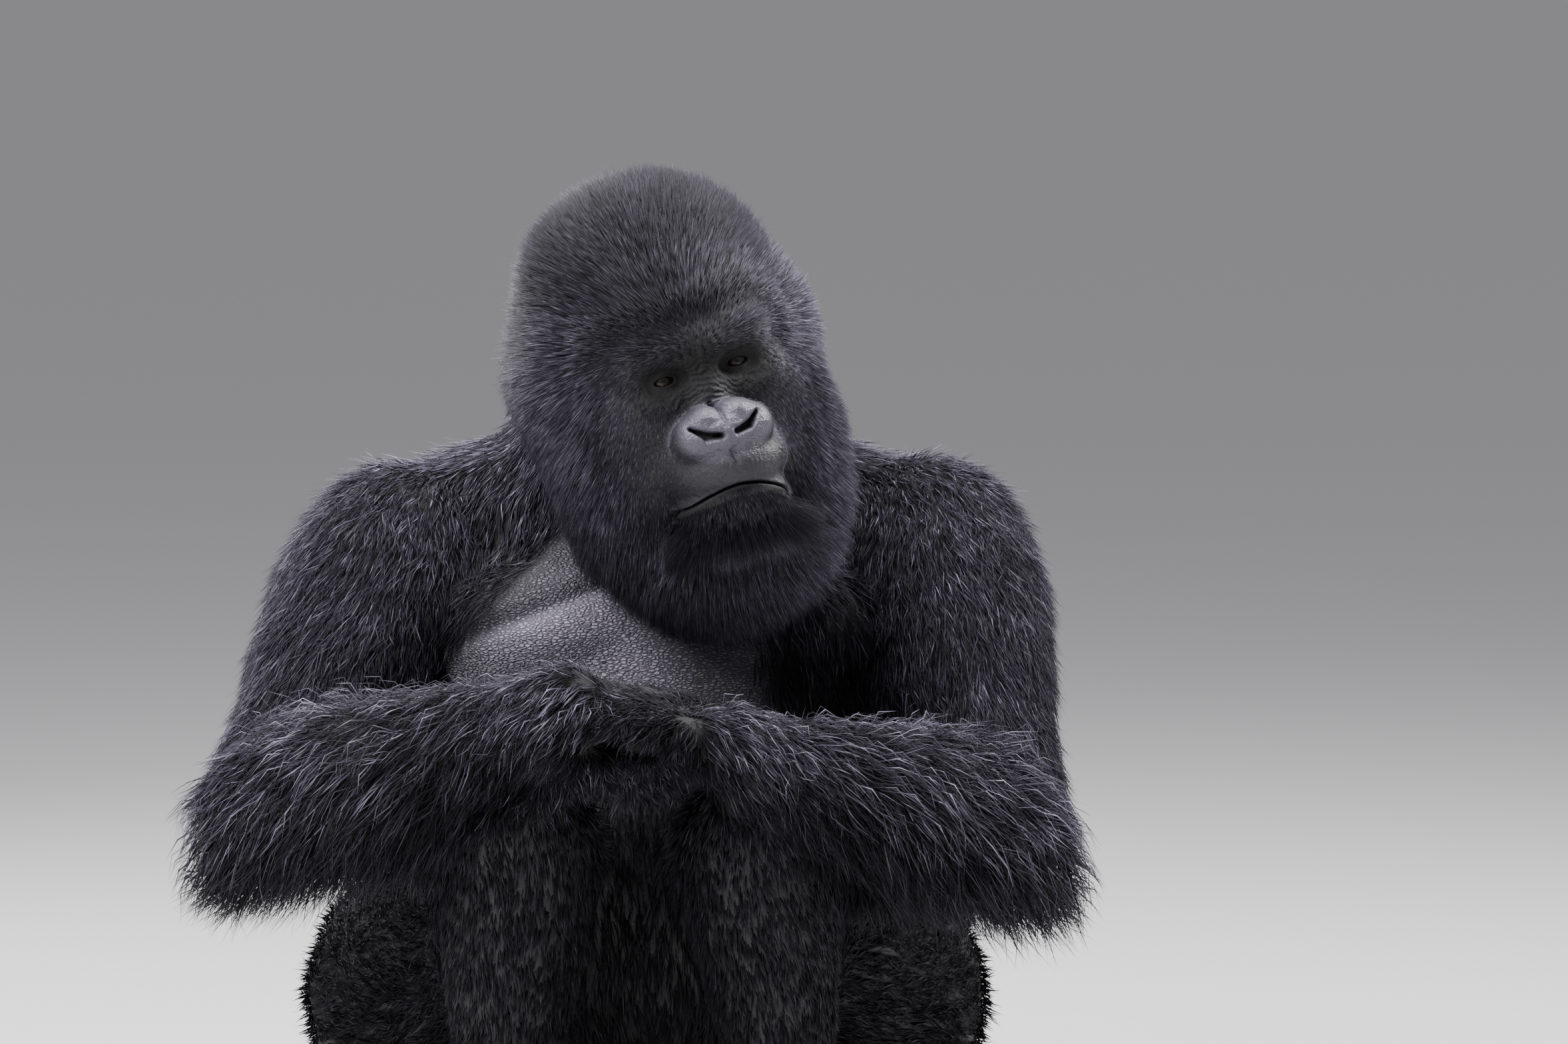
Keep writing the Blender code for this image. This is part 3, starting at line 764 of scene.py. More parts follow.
pebble_height = hide.times(hide.maths("MINIMUM", pebble, 0.30), hide.times("breast", 14.0))
# the nose and the lip are puckered all over
pucker = hide.add("ShaderNodeTexNoise", None, Vector=hide.place((1, 1, 1.3)), Scale=150.0, Detail=5.0)
face_skin = hide.times(hide.plus("nose", "lip"), 3.0)
puckered = hide.times(pucker.outputs["Fac"], face_skin)
raised = hide.add("ShaderNodeBump", None, Strength=0.75, Distance=0.0010,
                  Height=hide.plus(hide.plus(rough_height, pebble_height), puckered))
hide.surface(Base_Color=darkened, Roughness=roughness, Normal=raised.outputs["Normal"],
             Specular_IOR_Level=0.60)
dressed(skin, hide.material)
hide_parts(*FLESH)
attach(skin, "root")

# ---------------------------------------------------------------------------
# The eyes. Glass eyes, each one ball with a clear bulge in front, a dark brown iris round
# a black pupil, and the dark sclera of the species, set behind the lids from inside.
# ---------------------------------------------------------------------------
IRIS_RADIUS = 0.0068
CORNEA_RISE = 0.0011
GAZE = (head_turned @ Vector((-0.10, -1.0, -0.02))).normalized()

glass = Finish("glass_eye")
iris_noise = glass.add("ShaderNodeTexNoise", None, Vector=glass.place((1, 1, 1)), Scale=900.0, Detail=3.0)
spread = glass.plus("off_axis",
                   glass.times(glass.plus(iris_noise.outputs["Fac"], -0.5), 0.10))
rings = glass.stepped(spread, [
    (0.0, (0.001, 0.001, 0.001)), (0.200, (0.001, 0.001, 0.001)), (0.225, (0.028, 0.0145, 0.0065)),
    (0.40, (0.019, 0.0098, 0.0045)), (0.52, (0.005, 0.003, 0.002)), (0.60, (0.008, 0.006, 0.005)),
    (1.0, (0.010, 0.008, 0.007))])
glass.surface(Base_Color=rings, Roughness=0.6, Specular_IOR_Level=0.1, Coat_Weight=0.55,
              Coat_Roughness=0.03)

for side in ("right", "left"):
    ball = bmesh.new()
    bmesh.ops.create_uvsphere(ball, u_segments=48, v_segments=40, radius=EYE_RADIUS - 0.0001)
    off_axis = []
    for vertex in ball.verts:
        across = math.hypot(vertex.co.x, vertex.co.y)
        if vertex.co.z > 0 and across < IRIS_RADIUS:
            vertex.co.z += CORNEA_RISE * (1 - (across / IRIS_RADIUS) ** 2)
        off_axis.append(across / EYE_RADIUS if vertex.co.z > 0 else 1.0)
    turn = GAZE.to_track_quat("Z", "Y").to_matrix().to_4x4()
    bmesh.ops.transform(ball, matrix=Matrix.Translation(EYE_CENTRE[side]) @ turn, verts=ball.verts[:])
    eyeball = made_piece("eyeball_" + side, ball)
    stored(eyeball.data, "off_axis", off_axis)
    dressed(eyeball, glass.material)
    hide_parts("eye_" + side)
    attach(eyeball, "root")

# ---------------------------------------------------------------------------
# The ears. Small cast-rubber ears, black and naked, with a rolled rim and a hollow bowl,
# set into the coat at the sides of the head.
# ---------------------------------------------------------------------------
EAR_RINGS = 14
EAR_SPOKES = 40
EAR_LEAN = math.radians(24)
EAR_SINK = 0.014
EAR_HALF_WIDTH = 0.0150
EAR_HALF_HEIGHT = 0.0205
EAR_THICKNESS = 0.0030

for side, sign in (("right", -1), ("left", 1)):
    shell = bmesh.new()
    bmesh.ops.create_circle(shell, cap_ends=True, cap_tris=True, segments=EAR_SPOKES, radius=1.0)
    radial = [edge for edge in shell.edges if any(v.co.length < 0.01 for v in edge.verts)]
    bmesh.ops.subdivide_edges(shell, edges=radial, cuts=EAR_RINGS, use_grid_fill=True)
    for vertex in shell.verts:
        out, around = vertex.co.xy.length, math.atan2(vertex.co.y, vertex.co.x)
        outline = 0.94 + 0.06 * math.sin(around) - 0.05 * math.cos(2 * around)
        rim = 0.0052 * math.exp(-((out - 0.90) / 0.10) ** 2)
        inner_fold = 0.0026 * math.exp(-((out - 0.60) / 0.10) ** 2) * (0.5 - 0.5 * math.cos(around))
        bowl = -0.0060 * math.exp(-(out / 0.42) ** 2)
        tragus = 0.0045 * math.exp(-((vertex.co.x - 0.55) / 0.20) ** 2 - ((vertex.co.y + 0.25) / 0.25) ** 2)
        vertex.co = (vertex.co.x * EAR_HALF_WIDTH * outline, vertex.co.y * EAR_HALF_HEIGHT * outline,
                     rim + inner_fold + bowl + tragus - 0.004 * (out > 0.97))
    bmesh.ops.recalc_face_normals(shell, faces=shell.faces[:])
    if sum(face.normal.z for face in shell.faces) < 0:
        bmesh.ops.reverse_faces(shell, faces=shell.faces[:])
    low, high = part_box("ear_" + side)
    middle = (low + high) / 2
    # the ear's own z faces outward, its x forward and its y up
    outward = head_turned @ Vector((sign * math.cos(EAR_LEAN), -math.sin(EAR_LEAN), 0.0))
    upward = head_turned @ Vector((0.0, 0.10, 1.0))
    forward = upward.cross(outward).normalized() * sign
    upward = outward.cross(forward).normalized() * sign
    turn = Matrix((forward, upward, outward)).transposed()
    bmesh.ops.transform(shell, matrix=Matrix.Translation(middle - outward * EAR_SINK) @ turn.to_4x4(),
                        verts=shell.verts[:])
    if sign < 0:
        bmesh.ops.recalc_face_normals(shell, faces=shell.faces[:])
    ear = made_piece("ear_shell_" + side, shell)
    thickness = ear.modifiers.new("thickness", "SOLIDIFY")
    thickness.thickness = EAR_THICKNESS
    thickness.offset = 0.0
    finished(ear)
    stored(ear.data, "paw", np.ones(len(ear.data.vertices)))
    dressed(ear, hide.material)
    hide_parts("ear_" + side)
    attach(ear, "root")

# ---------------------------------------------------------------------------
# The nails. Flat, dark resin plates, slightly domed, bedded in the back of the tip of each
# finger and toe; those of one hand or foot are joined in one piece.
# ---------------------------------------------------------------------------
HAND_ALONG = {"right": (0.95, 0.22, -0.16), "left": (-0.93, 0.28, -0.14)}
HAND_PALM = {"right": (-0.10, 0.20, -0.97), "left": (0.0, 0.15, -0.97)}
PALM_LENGTH = 0.112
FINGER_GAP = 0.0255
FINGER_BONES = (0.050, 0.036, 0.020)
FINGER_CURLS = (8, 32, 58)
FINGER_REACH = (0.90, 1.0, 0.97, 0.86)
FOOT_SPLAY = {"right": 14, "left": -14}
FINGERNAIL, THUMBNAIL, TOENAIL, BIG_TOENAIL = 0.0130, 0.0135, 0.0140, 0.0190
NAIL_HALF_THICKNESS = 0.0012

horn = Finish("nail_horn")
horn.surface(Base_Color=(0.030, 0.026, 0.026, 1), Roughness=0.38)
skin_tree = BVHTree.FromPolygons([vertex.co for vertex in skin.data.vertices],
                                 [tuple(face.vertices) for face in skin.data.polygons])


def fingertips(side):
    """For each finger: a place in its tip, the ways it and its nail face, and the nail's width."""
    along = Vector(HAND_ALONG[side]).normalized()
    palm = Vector(HAND_PALM[side])
    palm = (palm - palm.dot(along) * along).normalized()
    across = along.cross(palm)
    wrist = Vector(joint("wrist", side))
    for finger, reach in enumerate(FINGER_REACH):
        knuckle = along * PALM_LENGTH * (0.98 - 0.03 * abs(finger - 1.2))
        spot = wrist + knuckle + across * (finger - 1.5) * FINGER_GAP
        for bone, curl in zip(FINGER_BONES, FINGER_CURLS):
            turn = math.radians(curl)
            way = along * math.cos(turn) + palm * math.sin(turn)
            spot = spot + way * bone * reach
        yield spot, way, along * math.sin(turn) - palm * math.cos(turn), FINGERNAIL
    thumb = wrist + along * 0.030 + across * 0.0416
    way = (along * 0.045 + across * 0.016 + palm * 0.020).normalized()
    yield thumb + way * 0.046, way, (across - across.dot(way) * way).normalized(), THUMBNAIL


def toetips(side):
    """The same for the toes."""
    turn = Matrix.Rotation(math.radians(FOOT_SPLAY[side]), 3, "Z")
    forward = turn @ Vector((0.0, -1.0, 0.0))
    outward = turn @ Vector((1.0 if side == "left" else -1.0, 0.0, 0.0))
    ankle = Vector(joint("ankle", side))
    heel = Vector((ankle.x, ankle.y, 0.0)) - forward * 0.030
    up = Vector((0.0, 0.0, 1.0))
    for toe in range(4):
        spot = heel + forward * (0.238 - 0.012 * toe) + outward * (toe - 0.9) * 0.0255 + up * 0.016
        yield spot, forward, up, TOENAIL
    spot = heel + forward * 0.182 - outward * 0.072 + up * 0.017
    yield spot, (forward * 0.95 - outward * 0.3).normalized(), up, BIG_TOENAIL


for side in ("right", "left"):
    for name, tips in (("fingernails_" + side, fingertips(side)), ("toenails_" + side, toetips(side))):
        plates = bmesh.new()
        for spot, way, facing, broad in tips:
            hit, hit_normal, _, _ = skin_tree.ray_cast(spot + facing * 0.030, -facing, 0.050)
            if hit is None:
                continue
            across = way.cross(hit_normal).normalized()
            way = hit_normal.cross(across)
            plate = bmesh.ops.create_uvsphere(plates, u_segments=16, v_segments=10, radius=1.0)["verts"]
            for vertex in plate:
                sideways, ahead, high = vertex.co
                drop = 0.30 * broad * (sideways * 0.5) ** 2
                vertex.co = (hit + across * sideways * broad * 0.5 + way * ahead * broad * 0.55
                             + hit_normal * (high * NAIL_HALF_THICKNESS - drop + 0.0004))
        bmesh.ops.recalc_face_normals(plates, faces=plates.faces[:])
        nails = made_piece(name, plates)
        dressed(nails, horn.material)
        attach(nails, "root")

# ---------------------------------------------------------------------------
# The coat. Real hair is set in the hide in thin tufts that overlap like thatch: short and
# dense on the head, long and wavy on the arms, silver over the loins. Each tuft is a closed
# spindle, or a spike on the head, many thousands of them joined in one mesh for each part.
# ---------------------------------------------------------------------------
SEED = 7
rng = np.random.default_rng(SEED)
noise.seed_set(SEED)
DOWN = np.array((0.0, 0.0, -1.0))
MOST_TRIANGLES = 158000
ROOT_DEPTH = 0.0015
BAKE_PATCH = 0.0030
FLOOR_GAP = 0.0015
BOX_MARGIN = 0.004
# the joints that the hair of a limb points from and to, and how far it hangs from that line
LIMB_HAIR = {"upper_arm": ("shoulder", "elbow", 0.45), "forearm": ("wrist", "elbow", 0.75),
             "hand": ("wrist", "elbow", 0.9), "thigh": ("hip", "knee", 0.35),
             "shin": ("knee", "ankle", 0.1)}

# which way the hair lies at each point of the skin
lie = np.tile(DOWN, (len(points), 1))
for index, name in enumerate(FLESH):
    chosen = owner == index
    part = kind_of(name)
    side = "right" if name.endswith("right") else "left"
    if part in LIMB_HAIR:
        start, end, hang = LIMB_HAIR[part]
        lie[chosen] = unit(joint(end, side) - joint(start, side)) + DOWN * hang
    elif part == "foot":
        lie[chosen] = (0.0, -1.0, -0.2)
    elif part in ("chest", "abdomen", "neck"):
        outward = points[chosen] * (1, 1, 0) - (0.02, 0.14, 0.0)
        lie[chosen] = DOWN + unit(outward) * 0.25
    elif part == "head":
        away = local[chosen] - (0.0, -0.020, 0.012)
        away = unit(away) + DOWN * fall(z[chosen], -0.04, 0.06)[:, None]
        behind = ramp(y[chosen], 0.150, 0.220)[:, None]
        away = away * (1 - behind) + np.array((0.0, 0.15, -1.0)) * behind
        lie[chosen] = away @ head_axes.T
lie = evened(unit(lie), pairs, 8)
# where the hair turns round a point it stands up and grows thicker
whorl = fall(np.linalg.norm(lie, axis=1), 0.45, 0.92)
whorl = evened(whorl * ~on_head, pairs, 2)
lie = unit(lie)
# slow swirls and partings
lie += 0.30 * np.array([noise.noise_vector(Vector(place) * 16) for place in points])
lie = unit(lie - normals * (lie * normals).sum(1, keepdims=True))

# how long, how dense and how raised the coat is at each point of the skin
COAT = {  # length, tufts per square centimetre, lift in degrees, droop, width
    "head": (0.021, 60, 27, 0.10, 0.0012),
    "neck": (0.034, 12, 26, 0.20, 0.0014),
    "chest": (0.040, 5.6, 24, 0.25, 0.0014),
    "abdomen": (0.046, 4.6, 17, 0.30, 0.0016),
    "upper_arm": (0.044, 12.0, 22, 0.25, 0.0011),
    "forearm": (0.076, 8.9, 28, 0.60, 0.00120),
    "hand": (0.046, 13.0, 16, 0.30, 0.0012),
    "thigh": (0.044, 5.6, 14, 0.35, 0.0018),
    "shin": (0.026, 6.0, 20, 0.15, 0.0016),
    "foot": (0.010, 6.0, 14, 0.05, 0.0012),
}
values = evened(np.array([COAT[k] for k in kind]), pairs, 6)
length, density, lift, droop, width = values.T.copy()
lift = np.radians(lift)
facing_up = normals[:, 2]
crown = on_head * ramp(z, 0.030, 0.090)
beard = on_head * fall(z, -0.150, -0.105) * fall(y, 0.10, 0.17)
cheek = on_head * fall(z, -0.02, 0.03) * (1 - beard)
under_arm = (kind == "forearm") * fall(facing_up, -0.55, 0.25)
length = length + 0.030 * evened(under_arm, pairs, 2)
for side in ("right", "left"):
    near_wrist = fall(np.linalg.norm(points - joint("wrist", side), axis=1), 0.050, 0.120)
    near_wrist *= (kind == "forearm") | (kind == "hand")
    length *= 1 - 0.35 * near_wrist
    density *= 1 + 1.2 * near_wrist
    lift *= 1 - 0.55 * near_wrist
density *= 1 + 2.0 * whorl
lift += math.radians(34) * whorl
# painted shade: the coat is darkened round the eyes and on the chin, over the crown and brows against the
# light from above, and on the undersides below; the beard is darker too
shade = 1 - 0.35 * beard - 0.80 * face_hair_painted_shade
shade *= 1 - 0.88 * on_head * ramp(z, -0.010, 0.110) * (1 - 0.6 * ramp(y, 0.110, 0.200))
shade *= 1 - (0.84 * on_head * bell(z, 0.046, 0.032) * fall(np.abs(x), 0.055, 0.110)
              * fall(y, 0.030, 0.090))
# tone that differs at random, in broad patches
shade *= 1 + 0.45 * noise_at(points, 13)
# painted shade: the arms darken as they face down, and the thighs, shins, hands and the front of the trunk
# lie in shade under the arms
in_front = points[:, 1] < 0.05
for here, painted_part_shade in ((kind == "forearm", 0.12 + 0.70 * ramp(facing_up, -0.45, 0.35)),
                   (kind == "upper_arm", 0.40 + 0.60 * ramp(facing_up, -0.10, 0.70)),
                   (np.isin(kind, ("thigh", "shin", "hand")), 0.14),
                   ((kind == "abdomen") & in_front, 0.14), ((kind == "chest") & in_front, 0.40)):
    shade *= np.where(here, painted_part_shade, 1.0)
shade = np.clip(evened(shade, pairs, 3), 0, 1)
lift = lift + crown * math.radians(9) + beard * math.radians(16) - cheek * math.radians(4)
near_face = on_head * fall(y, 0.015, 0.070) * ramp(z, -0.150, -0.125) * fall(np.abs(x), 0.070, 0.105)
near_face = np.clip(near_face * fall(z, 0.026, 0.060), 0, 1) * ramp(over_mouth, -0.012, -0.002)
brow_edge = on_head * ramp(z, 0.020, 0.032) * fall(y, 0.01, 0.06)
# on the head the tips reach the solid's outside
clearance = np.zeros(len(points))
for number in np.nonzero(on_head)[0]:
    place = Vector(points[number])
    hit, hit_normal, _, _ = solids_tree.find_nearest(place)
    clearance[number] = max((hit - place).dot(hit_normal), 0.0)
to_outside = evened(np.clip(clearance / np.sin(lift), 0.0125, 0.028), pairs, 4)
length = np.where(on_head, to_outside + 0.003 * brow_edge + 0.012 * beard + 0.010 * chin, length)
from_mouth = np.hypot((x - MOUTH_MIDDLE) / 0.056, (z + 0.078) / 0.052) + 10 * ~on_head
grown = 0.35 + 0.65 * ramp(from_mouth, 0.90, 1.50)
length = length * np.maximum(grown, 0.60 * (over_mouth < -0.003))
lift = lift * (1 - 0.45 * near_face)
width = width * (1 - 0.3 * near_face)
density = density * (1 + 0.5 * near_face) * (1 + 0.8 * chin * on_head)

# where there is no hair: nose, lips, lids, breast, palms and soles
eye_gap = np.minimum(*[np.linalg.norm((local - (middle, 0.0, -0.003)) / (1.15, 1.0, 0.9), axis=1)
                       for middle in (0.037, -0.037)])
bridge = on_head * fall(np.abs(x), 0.018, 0.034) * ramp(z, -0.050, -0.040) * fall(z, 0.010, 0.022)
bald = [np.clip(2.5 * pad, 0, 1), lip, bridge * (y < 0.03), on_head * fall(eye_gap, 0.015, 0.031),
        fall(mouth_gap(local), 0.0015, 0.0035) * on_head * (y < 0.03), breast,
        (kind == "hand") * fall(facing_up, -0.45, -0.05), (kind == "foot") * fall(facing_up, -0.1, 0.35),
        (kind == "foot") * fall(points[:, 1], -0.345, -0.300)]
for side in ("right", "left"):
    low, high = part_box("ear_" + side)
    bald.append(fall(np.linalg.norm(points - np.array((low + high) / 2), axis=1), 0.008, 0.014))
bare = np.clip(np.max(bald, axis=0), 0, 1)
# little hair is spent in folds where the body meets itself
folded = np.zeros(len(points))
for number, (point, normal) in enumerate(zip(points, normals)):
    hit = skin_tree.ray_cast(Vector(point + normal * 0.003), Vector(normal), 0.035)
    folded[number] = hit[0] is not None
folded = evened(folded, pairs, 2)
density = density * (1 - bare) * (points[:, 2] > 0.004) * (1 - 0.75 * folded)

skin.data.calc_loop_triangles()
skin_triangles = rows(skin.data.loop_triangles, "vertices", 3, np.int32)


def rooted(chosen, share):
    """Places spread over the skin by the coat's density: each one's triangle and weights."""
    triangles = skin_triangles[chosen]
    corners = points[triangles]
    across = np.cross(corners[:, 1] - corners[:, 0], corners[:, 2] - corners[:, 0])
    area = np.linalg.norm(across, axis=1) / 2
    crowd = area * 10000 * density[triangles].mean(1) * share
    total = np.cumsum(crowd)
    count = int(total[-1])
    picks = np.searchsorted(total, (np.arange(count) + rng.random(count)) * total[-1] / count)
    picks = np.minimum(picks, len(total) - 1)
    first, second = rng.random(count), rng.random(count)
    swap = first + second > 1
    first[swap], second[swap] = 1 - first[swap], 1 - second[swap]
    weights = np.stack([1 - first - second, first, second], 1)
    return triangles[picks], weights


def spread_over(values, triangles, weights):
    """Values of the skin's points read at the roots."""
    picked = values[triangles]
    if picked.ndim == 2:
        return (picked * weights).sum(1)
    return (picked * weights[:, :, None]).sum(1)


def locks_mesh(name, path, side_way, out_way, widths, root_uv, marks):
    """Closed spindles along rows of centre lines, joined in one mesh with its bake map."""
    count, stations = path.shape[:2]
    # the shortest tufts are plain spikes, closed by one face at the root
    first_ring = 0 if stations == 2 else 1
    rings = max(1, stations - 2)
    per_lock = first_ring + 3 * rings + 1
    vertices = np.empty((count, per_lock, 3))
    vertices[:, 0] = path[:, 0]
    vertices[:, -1] = path[:, -1]
    along = np.zeros((count, per_lock))
    along[:, -1] = 1.0
    patch = np.zeros((count, per_lock, 2))
    patch[:, 0, 1], patch[:, -1, 1] = -BAKE_PATCH / 2, BAKE_PATCH / 2
    for ring in range(rings):
        share = (ring + first_ring) / (stations - 1)
        swell = widths * (1.0 - 0.45 * max(0.0, share - 0.35))
        for corner, (sideways, outwards) in enumerate(((0.5, -0.15), (-0.5, -0.15), (0.0, 0.32))):
            number = first_ring + ring * 3 + corner
            vertices[:, number] = (path[:, ring + first_ring] + side_way * (swell * sideways)[:, None]
                                   + out_way * (swell * outwards)[:, None])
            along[:, number] = share
            patch[:, number] = (BAKE_PATCH * sideways, BAKE_PATCH * (share - 0.5))
    faces = [(0, 2, 1), (0, 3, 2), (0, 1, 3)] if first_ring else [(0, 2, 1)]
    for ring in range(rings - 1):
        base = first_ring + ring * 3
        for corner in range(3):
            following = (corner + 1) % 3
            a, b, c, d = base + corner, base + following, base + 3 + following, base + 3 + corner
            faces += [(a, b, c), (a, c, d)]
    last, tip = first_ring + (rings - 1) * 3, per_lock - 1
    faces += [(last, last + 1, tip), (last + 1, last + 2, tip), (last + 2, last, tip)]
    faces = np.array(faces, np.int32)
    indices = (faces[None] + (np.arange(count, dtype=np.int32) * per_lock)[:, None, None]).reshape(-1)
    mesh = bpy.data.meshes.new(name)
    mesh.vertices.add(count * per_lock)
    mesh.vertices.foreach_set("co", vertices.ravel())
    mesh.loops.add(len(indices))
    mesh.loops.foreach_set("vertex_index", indices)
    mesh.polygons.add(len(indices) // 3)
    mesh.polygons.foreach_set("loop_start", np.arange(0, len(indices), 3, dtype=np.int32))
    mesh.update(calc_edges=True)
    mesh.polygons.foreach_set("use_smooth", np.ones(len(indices) // 3, bool))
    bake_map = mesh.uv_layers.new(name="OFBake")
    patch = (patch + root_uv[:, None, :]).reshape(-1, 2)
    bake_map.data.foreach_set("uv", patch[indices].ravel().astype(np.float32))
    stored(mesh, "along", along.ravel())
    for mark, values in marks.items():
        stored(mesh, mark, np.repeat(values, per_lock))
    return mesh


def unwrapped(spots, start, end):
    """Places laid flat by turning round an axis: the angle across, the height up."""
    start, end = np.array(start, float), np.array(end, float)
    axis = unit(end - start)
    sideways = unit(np.cross(axis, (0.3, 1.0, 0.2)))
    third = np.cross(axis, sideways)
    middle = (start + end) / 2
    moved = spots - middle
    angle = np.arctan2(moved @ third, moved @ sideways) / (2 * math.pi) + 0.5
    radius = np.linalg.norm(moved - np.outer(moved @ axis, axis), axis=1)
    tilt = np.arctan2(moved @ axis, radius + 0.35 * np.linalg.norm(end - start))
    flat = np.stack([angle, tilt], 1)
    low, high = flat.min(0), flat.max(0)
    return 0.01 + 0.98 * (flat - low) / (high - low)


coat = Finish("coat")
grain = coat.add("ShaderNodeTexNoise", None, Vector=coat.place((1, 1, 1)), Scale=22.0, Detail=3.0)
# the coat runs from near-black at the root to pale at the tip, with random tone from tuft to tuft and in
# grain; the pale tips are partly painted sheen
strand = coat.times("along", coat.plus(0.35, "tint"))
strand = coat.plus(strand, coat.times(coat.plus(grain.outputs["Fac"], -0.5), 0.35))
black = coat.stepped(strand, [(0.0, (0.006, 0.0055, 0.0074)), (0.40, (0.042, 0.0386, 0.0520)),
                              (0.70, (0.155, 0.142, 0.190)), (1.0, (0.520, 0.480, 0.620))])
grey = coat.stepped(strand, [(0.0, (0.034, 0.032, 0.036)), (0.45, (0.170, 0.164, 0.178)),
                             (1.0, (0.440, 0.430, 0.455))])
# painted shade: the coat's colour is darkened towards black where shade falls, with some random tone
shaded = coat.mixed("shade", (0.003, 0.0027, 0.0036, 1), black)
coat.surface(Base_Color=coat.mixed("silver", shaded, grey), Roughness=0.48, Specular_IOR_Level=0.12,
             Sheen_Weight=0.012, Sheen_Roughness=0.4, Sheen_Tint=(0.86, 0.84, 1.0, 1.0))

low_limit = np.array(cad_low) - BOX_MARGIN
high_limit = np.array(cad_high) + BOX_MARGIN
low_limit[2] = FLOOR_GAP
coat_scale = 1.0


def coat_piece(name, chosen, axis_start, axis_end, stations, share=1.0, curl=0.10, clump=0.35,
               clump_size=0.010, thickness=1.0):
    """Sets tufts over the chosen skin triangles and joins them in one piece."""
    triangles, weights = rooted(np.nonzero(chosen)[0], coat_scale * share)
    count = len(triangles)
    per_lock = 4 if stations == 2 else 6 * (stations - 2)
    if count * per_lock > MOST_TRIANGLES:
        keep = rng.permutation(count)[:MOST_TRIANGLES // per_lock]
        triangles, weights = triangles[keep], weights[keep]
        count = len(keep)
    root = spread_over(points, triangles, weights)
    out = unit(spread_over(normals, triangles, weights))
    scatter, evenness = {2: (0.14, 4.0), 3: (0.18, 3.0), 4: (0.20, 1.7)}[stations]
    flow = unit(spread_over(lie, triangles, weights) + rng.normal(0, scatter, (count, 3)))
    flow = unit(flow - out * (flow * out).sum(1, keepdims=True))
    reach = spread_over(length, triangles, weights) * rng.uniform(0.65, 1.2, count)
    rise = spread_over(lift, triangles, weights) * rng.uniform(0.55, 1.35, count)
    hang = spread_over(droop, triangles, weights)
    broad = spread_over(width, triangles, weights) * rng.uniform(0.55, 1.35, count) * thickness
    way = unit(flow * np.cos(rise)[:, None] + out * np.sin(rise)[:, None])
    path = np.empty((count, stations, 3))
    path[:, 0] = root - out * ROOT_DEPTH
    step = reach / (stations - 1)
    bend = rng.normal(0, curl, (count, 3))
    for station in range(1, stations):
        path[:, station] = path[:, station - 1] + way * step[:, None]
        way = unit(way + DOWN * (hang / (stations - 1))[:, None] + bend - out * 0.10)
        bend = -bend * 0.8 + rng.normal(0, curl * 0.5, (count, 3))
    # neighbouring tips draw together into points
    guides = rng.permutation(count)[:max(8, int(count * (0.0022 / clump_size)))]
    tree = KDTree(len(guides))
    for number, guide in enumerate(guides):
        tree.insert(root[guide], number)
    tree.balance()
    nearest = guides[[tree.find(place)[1] for place in root]]
    gap = np.linalg.norm(root - root[nearest], axis=1)
    pull = clump * np.clip(1.6 - gap / clump_size, 0, 1)
    for station in range(1, stations):
        grip = pull * (station / (stations - 1)) ** 1.3
        path[:, station] += (path[nearest, station] - path[:, station]) * grip[:, None]
    # no tuft runs back into the body or under the floor
    for station in range(1, stations):
        clearance = 0.0008 + 0.0012 * station
        for number in range(count):
            place = Vector(path[number, station])
            hit, face_normal, _, distance = skin_tree.find_nearest(place, 0.05)
            if hit is None:
                continue
            inside = (place - hit).dot(face_normal) < 0
            if inside or distance < clearance:
                path[number, station] = hit + face_normal * clearance
        path[:, station] = np.clip(path[:, station], low_limit, high_limit)
    side_way = unit(np.cross(path[:, 1] - path[:, 0], out))
    marks = {"tint": np.clip(rng.gamma(evenness, 0.44 / evenness, count), 0, 1.2),
             "silver": saddle_share(root), "shade": spread_over(shade, triangles, weights)}
    mesh = locks_mesh(name, path, side_way, out, broad, unwrapped(root, axis_start, axis_end), marks)
    mesh.materials.append(coat.material)
    piece = added_object(name, mesh)
    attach(piece, "root")


triangle_name = np.array(FLESH)[owner[skin_triangles[:, 0]]]
_, behind, above = to_head(points[skin_triangles].mean(1)).T
is_head = triangle_name == "head"
front_head = is_head & (behind <= 0.135)
lower_head = front_head & (above <= 0.015)
head_axis = [from_head(np.array((0.0, 0.10, height))) for height in (-0.20, 0.18)]
trunk_axis = ((0.02, 0.16, 0.0), (0.02, 0.16, 0.9))

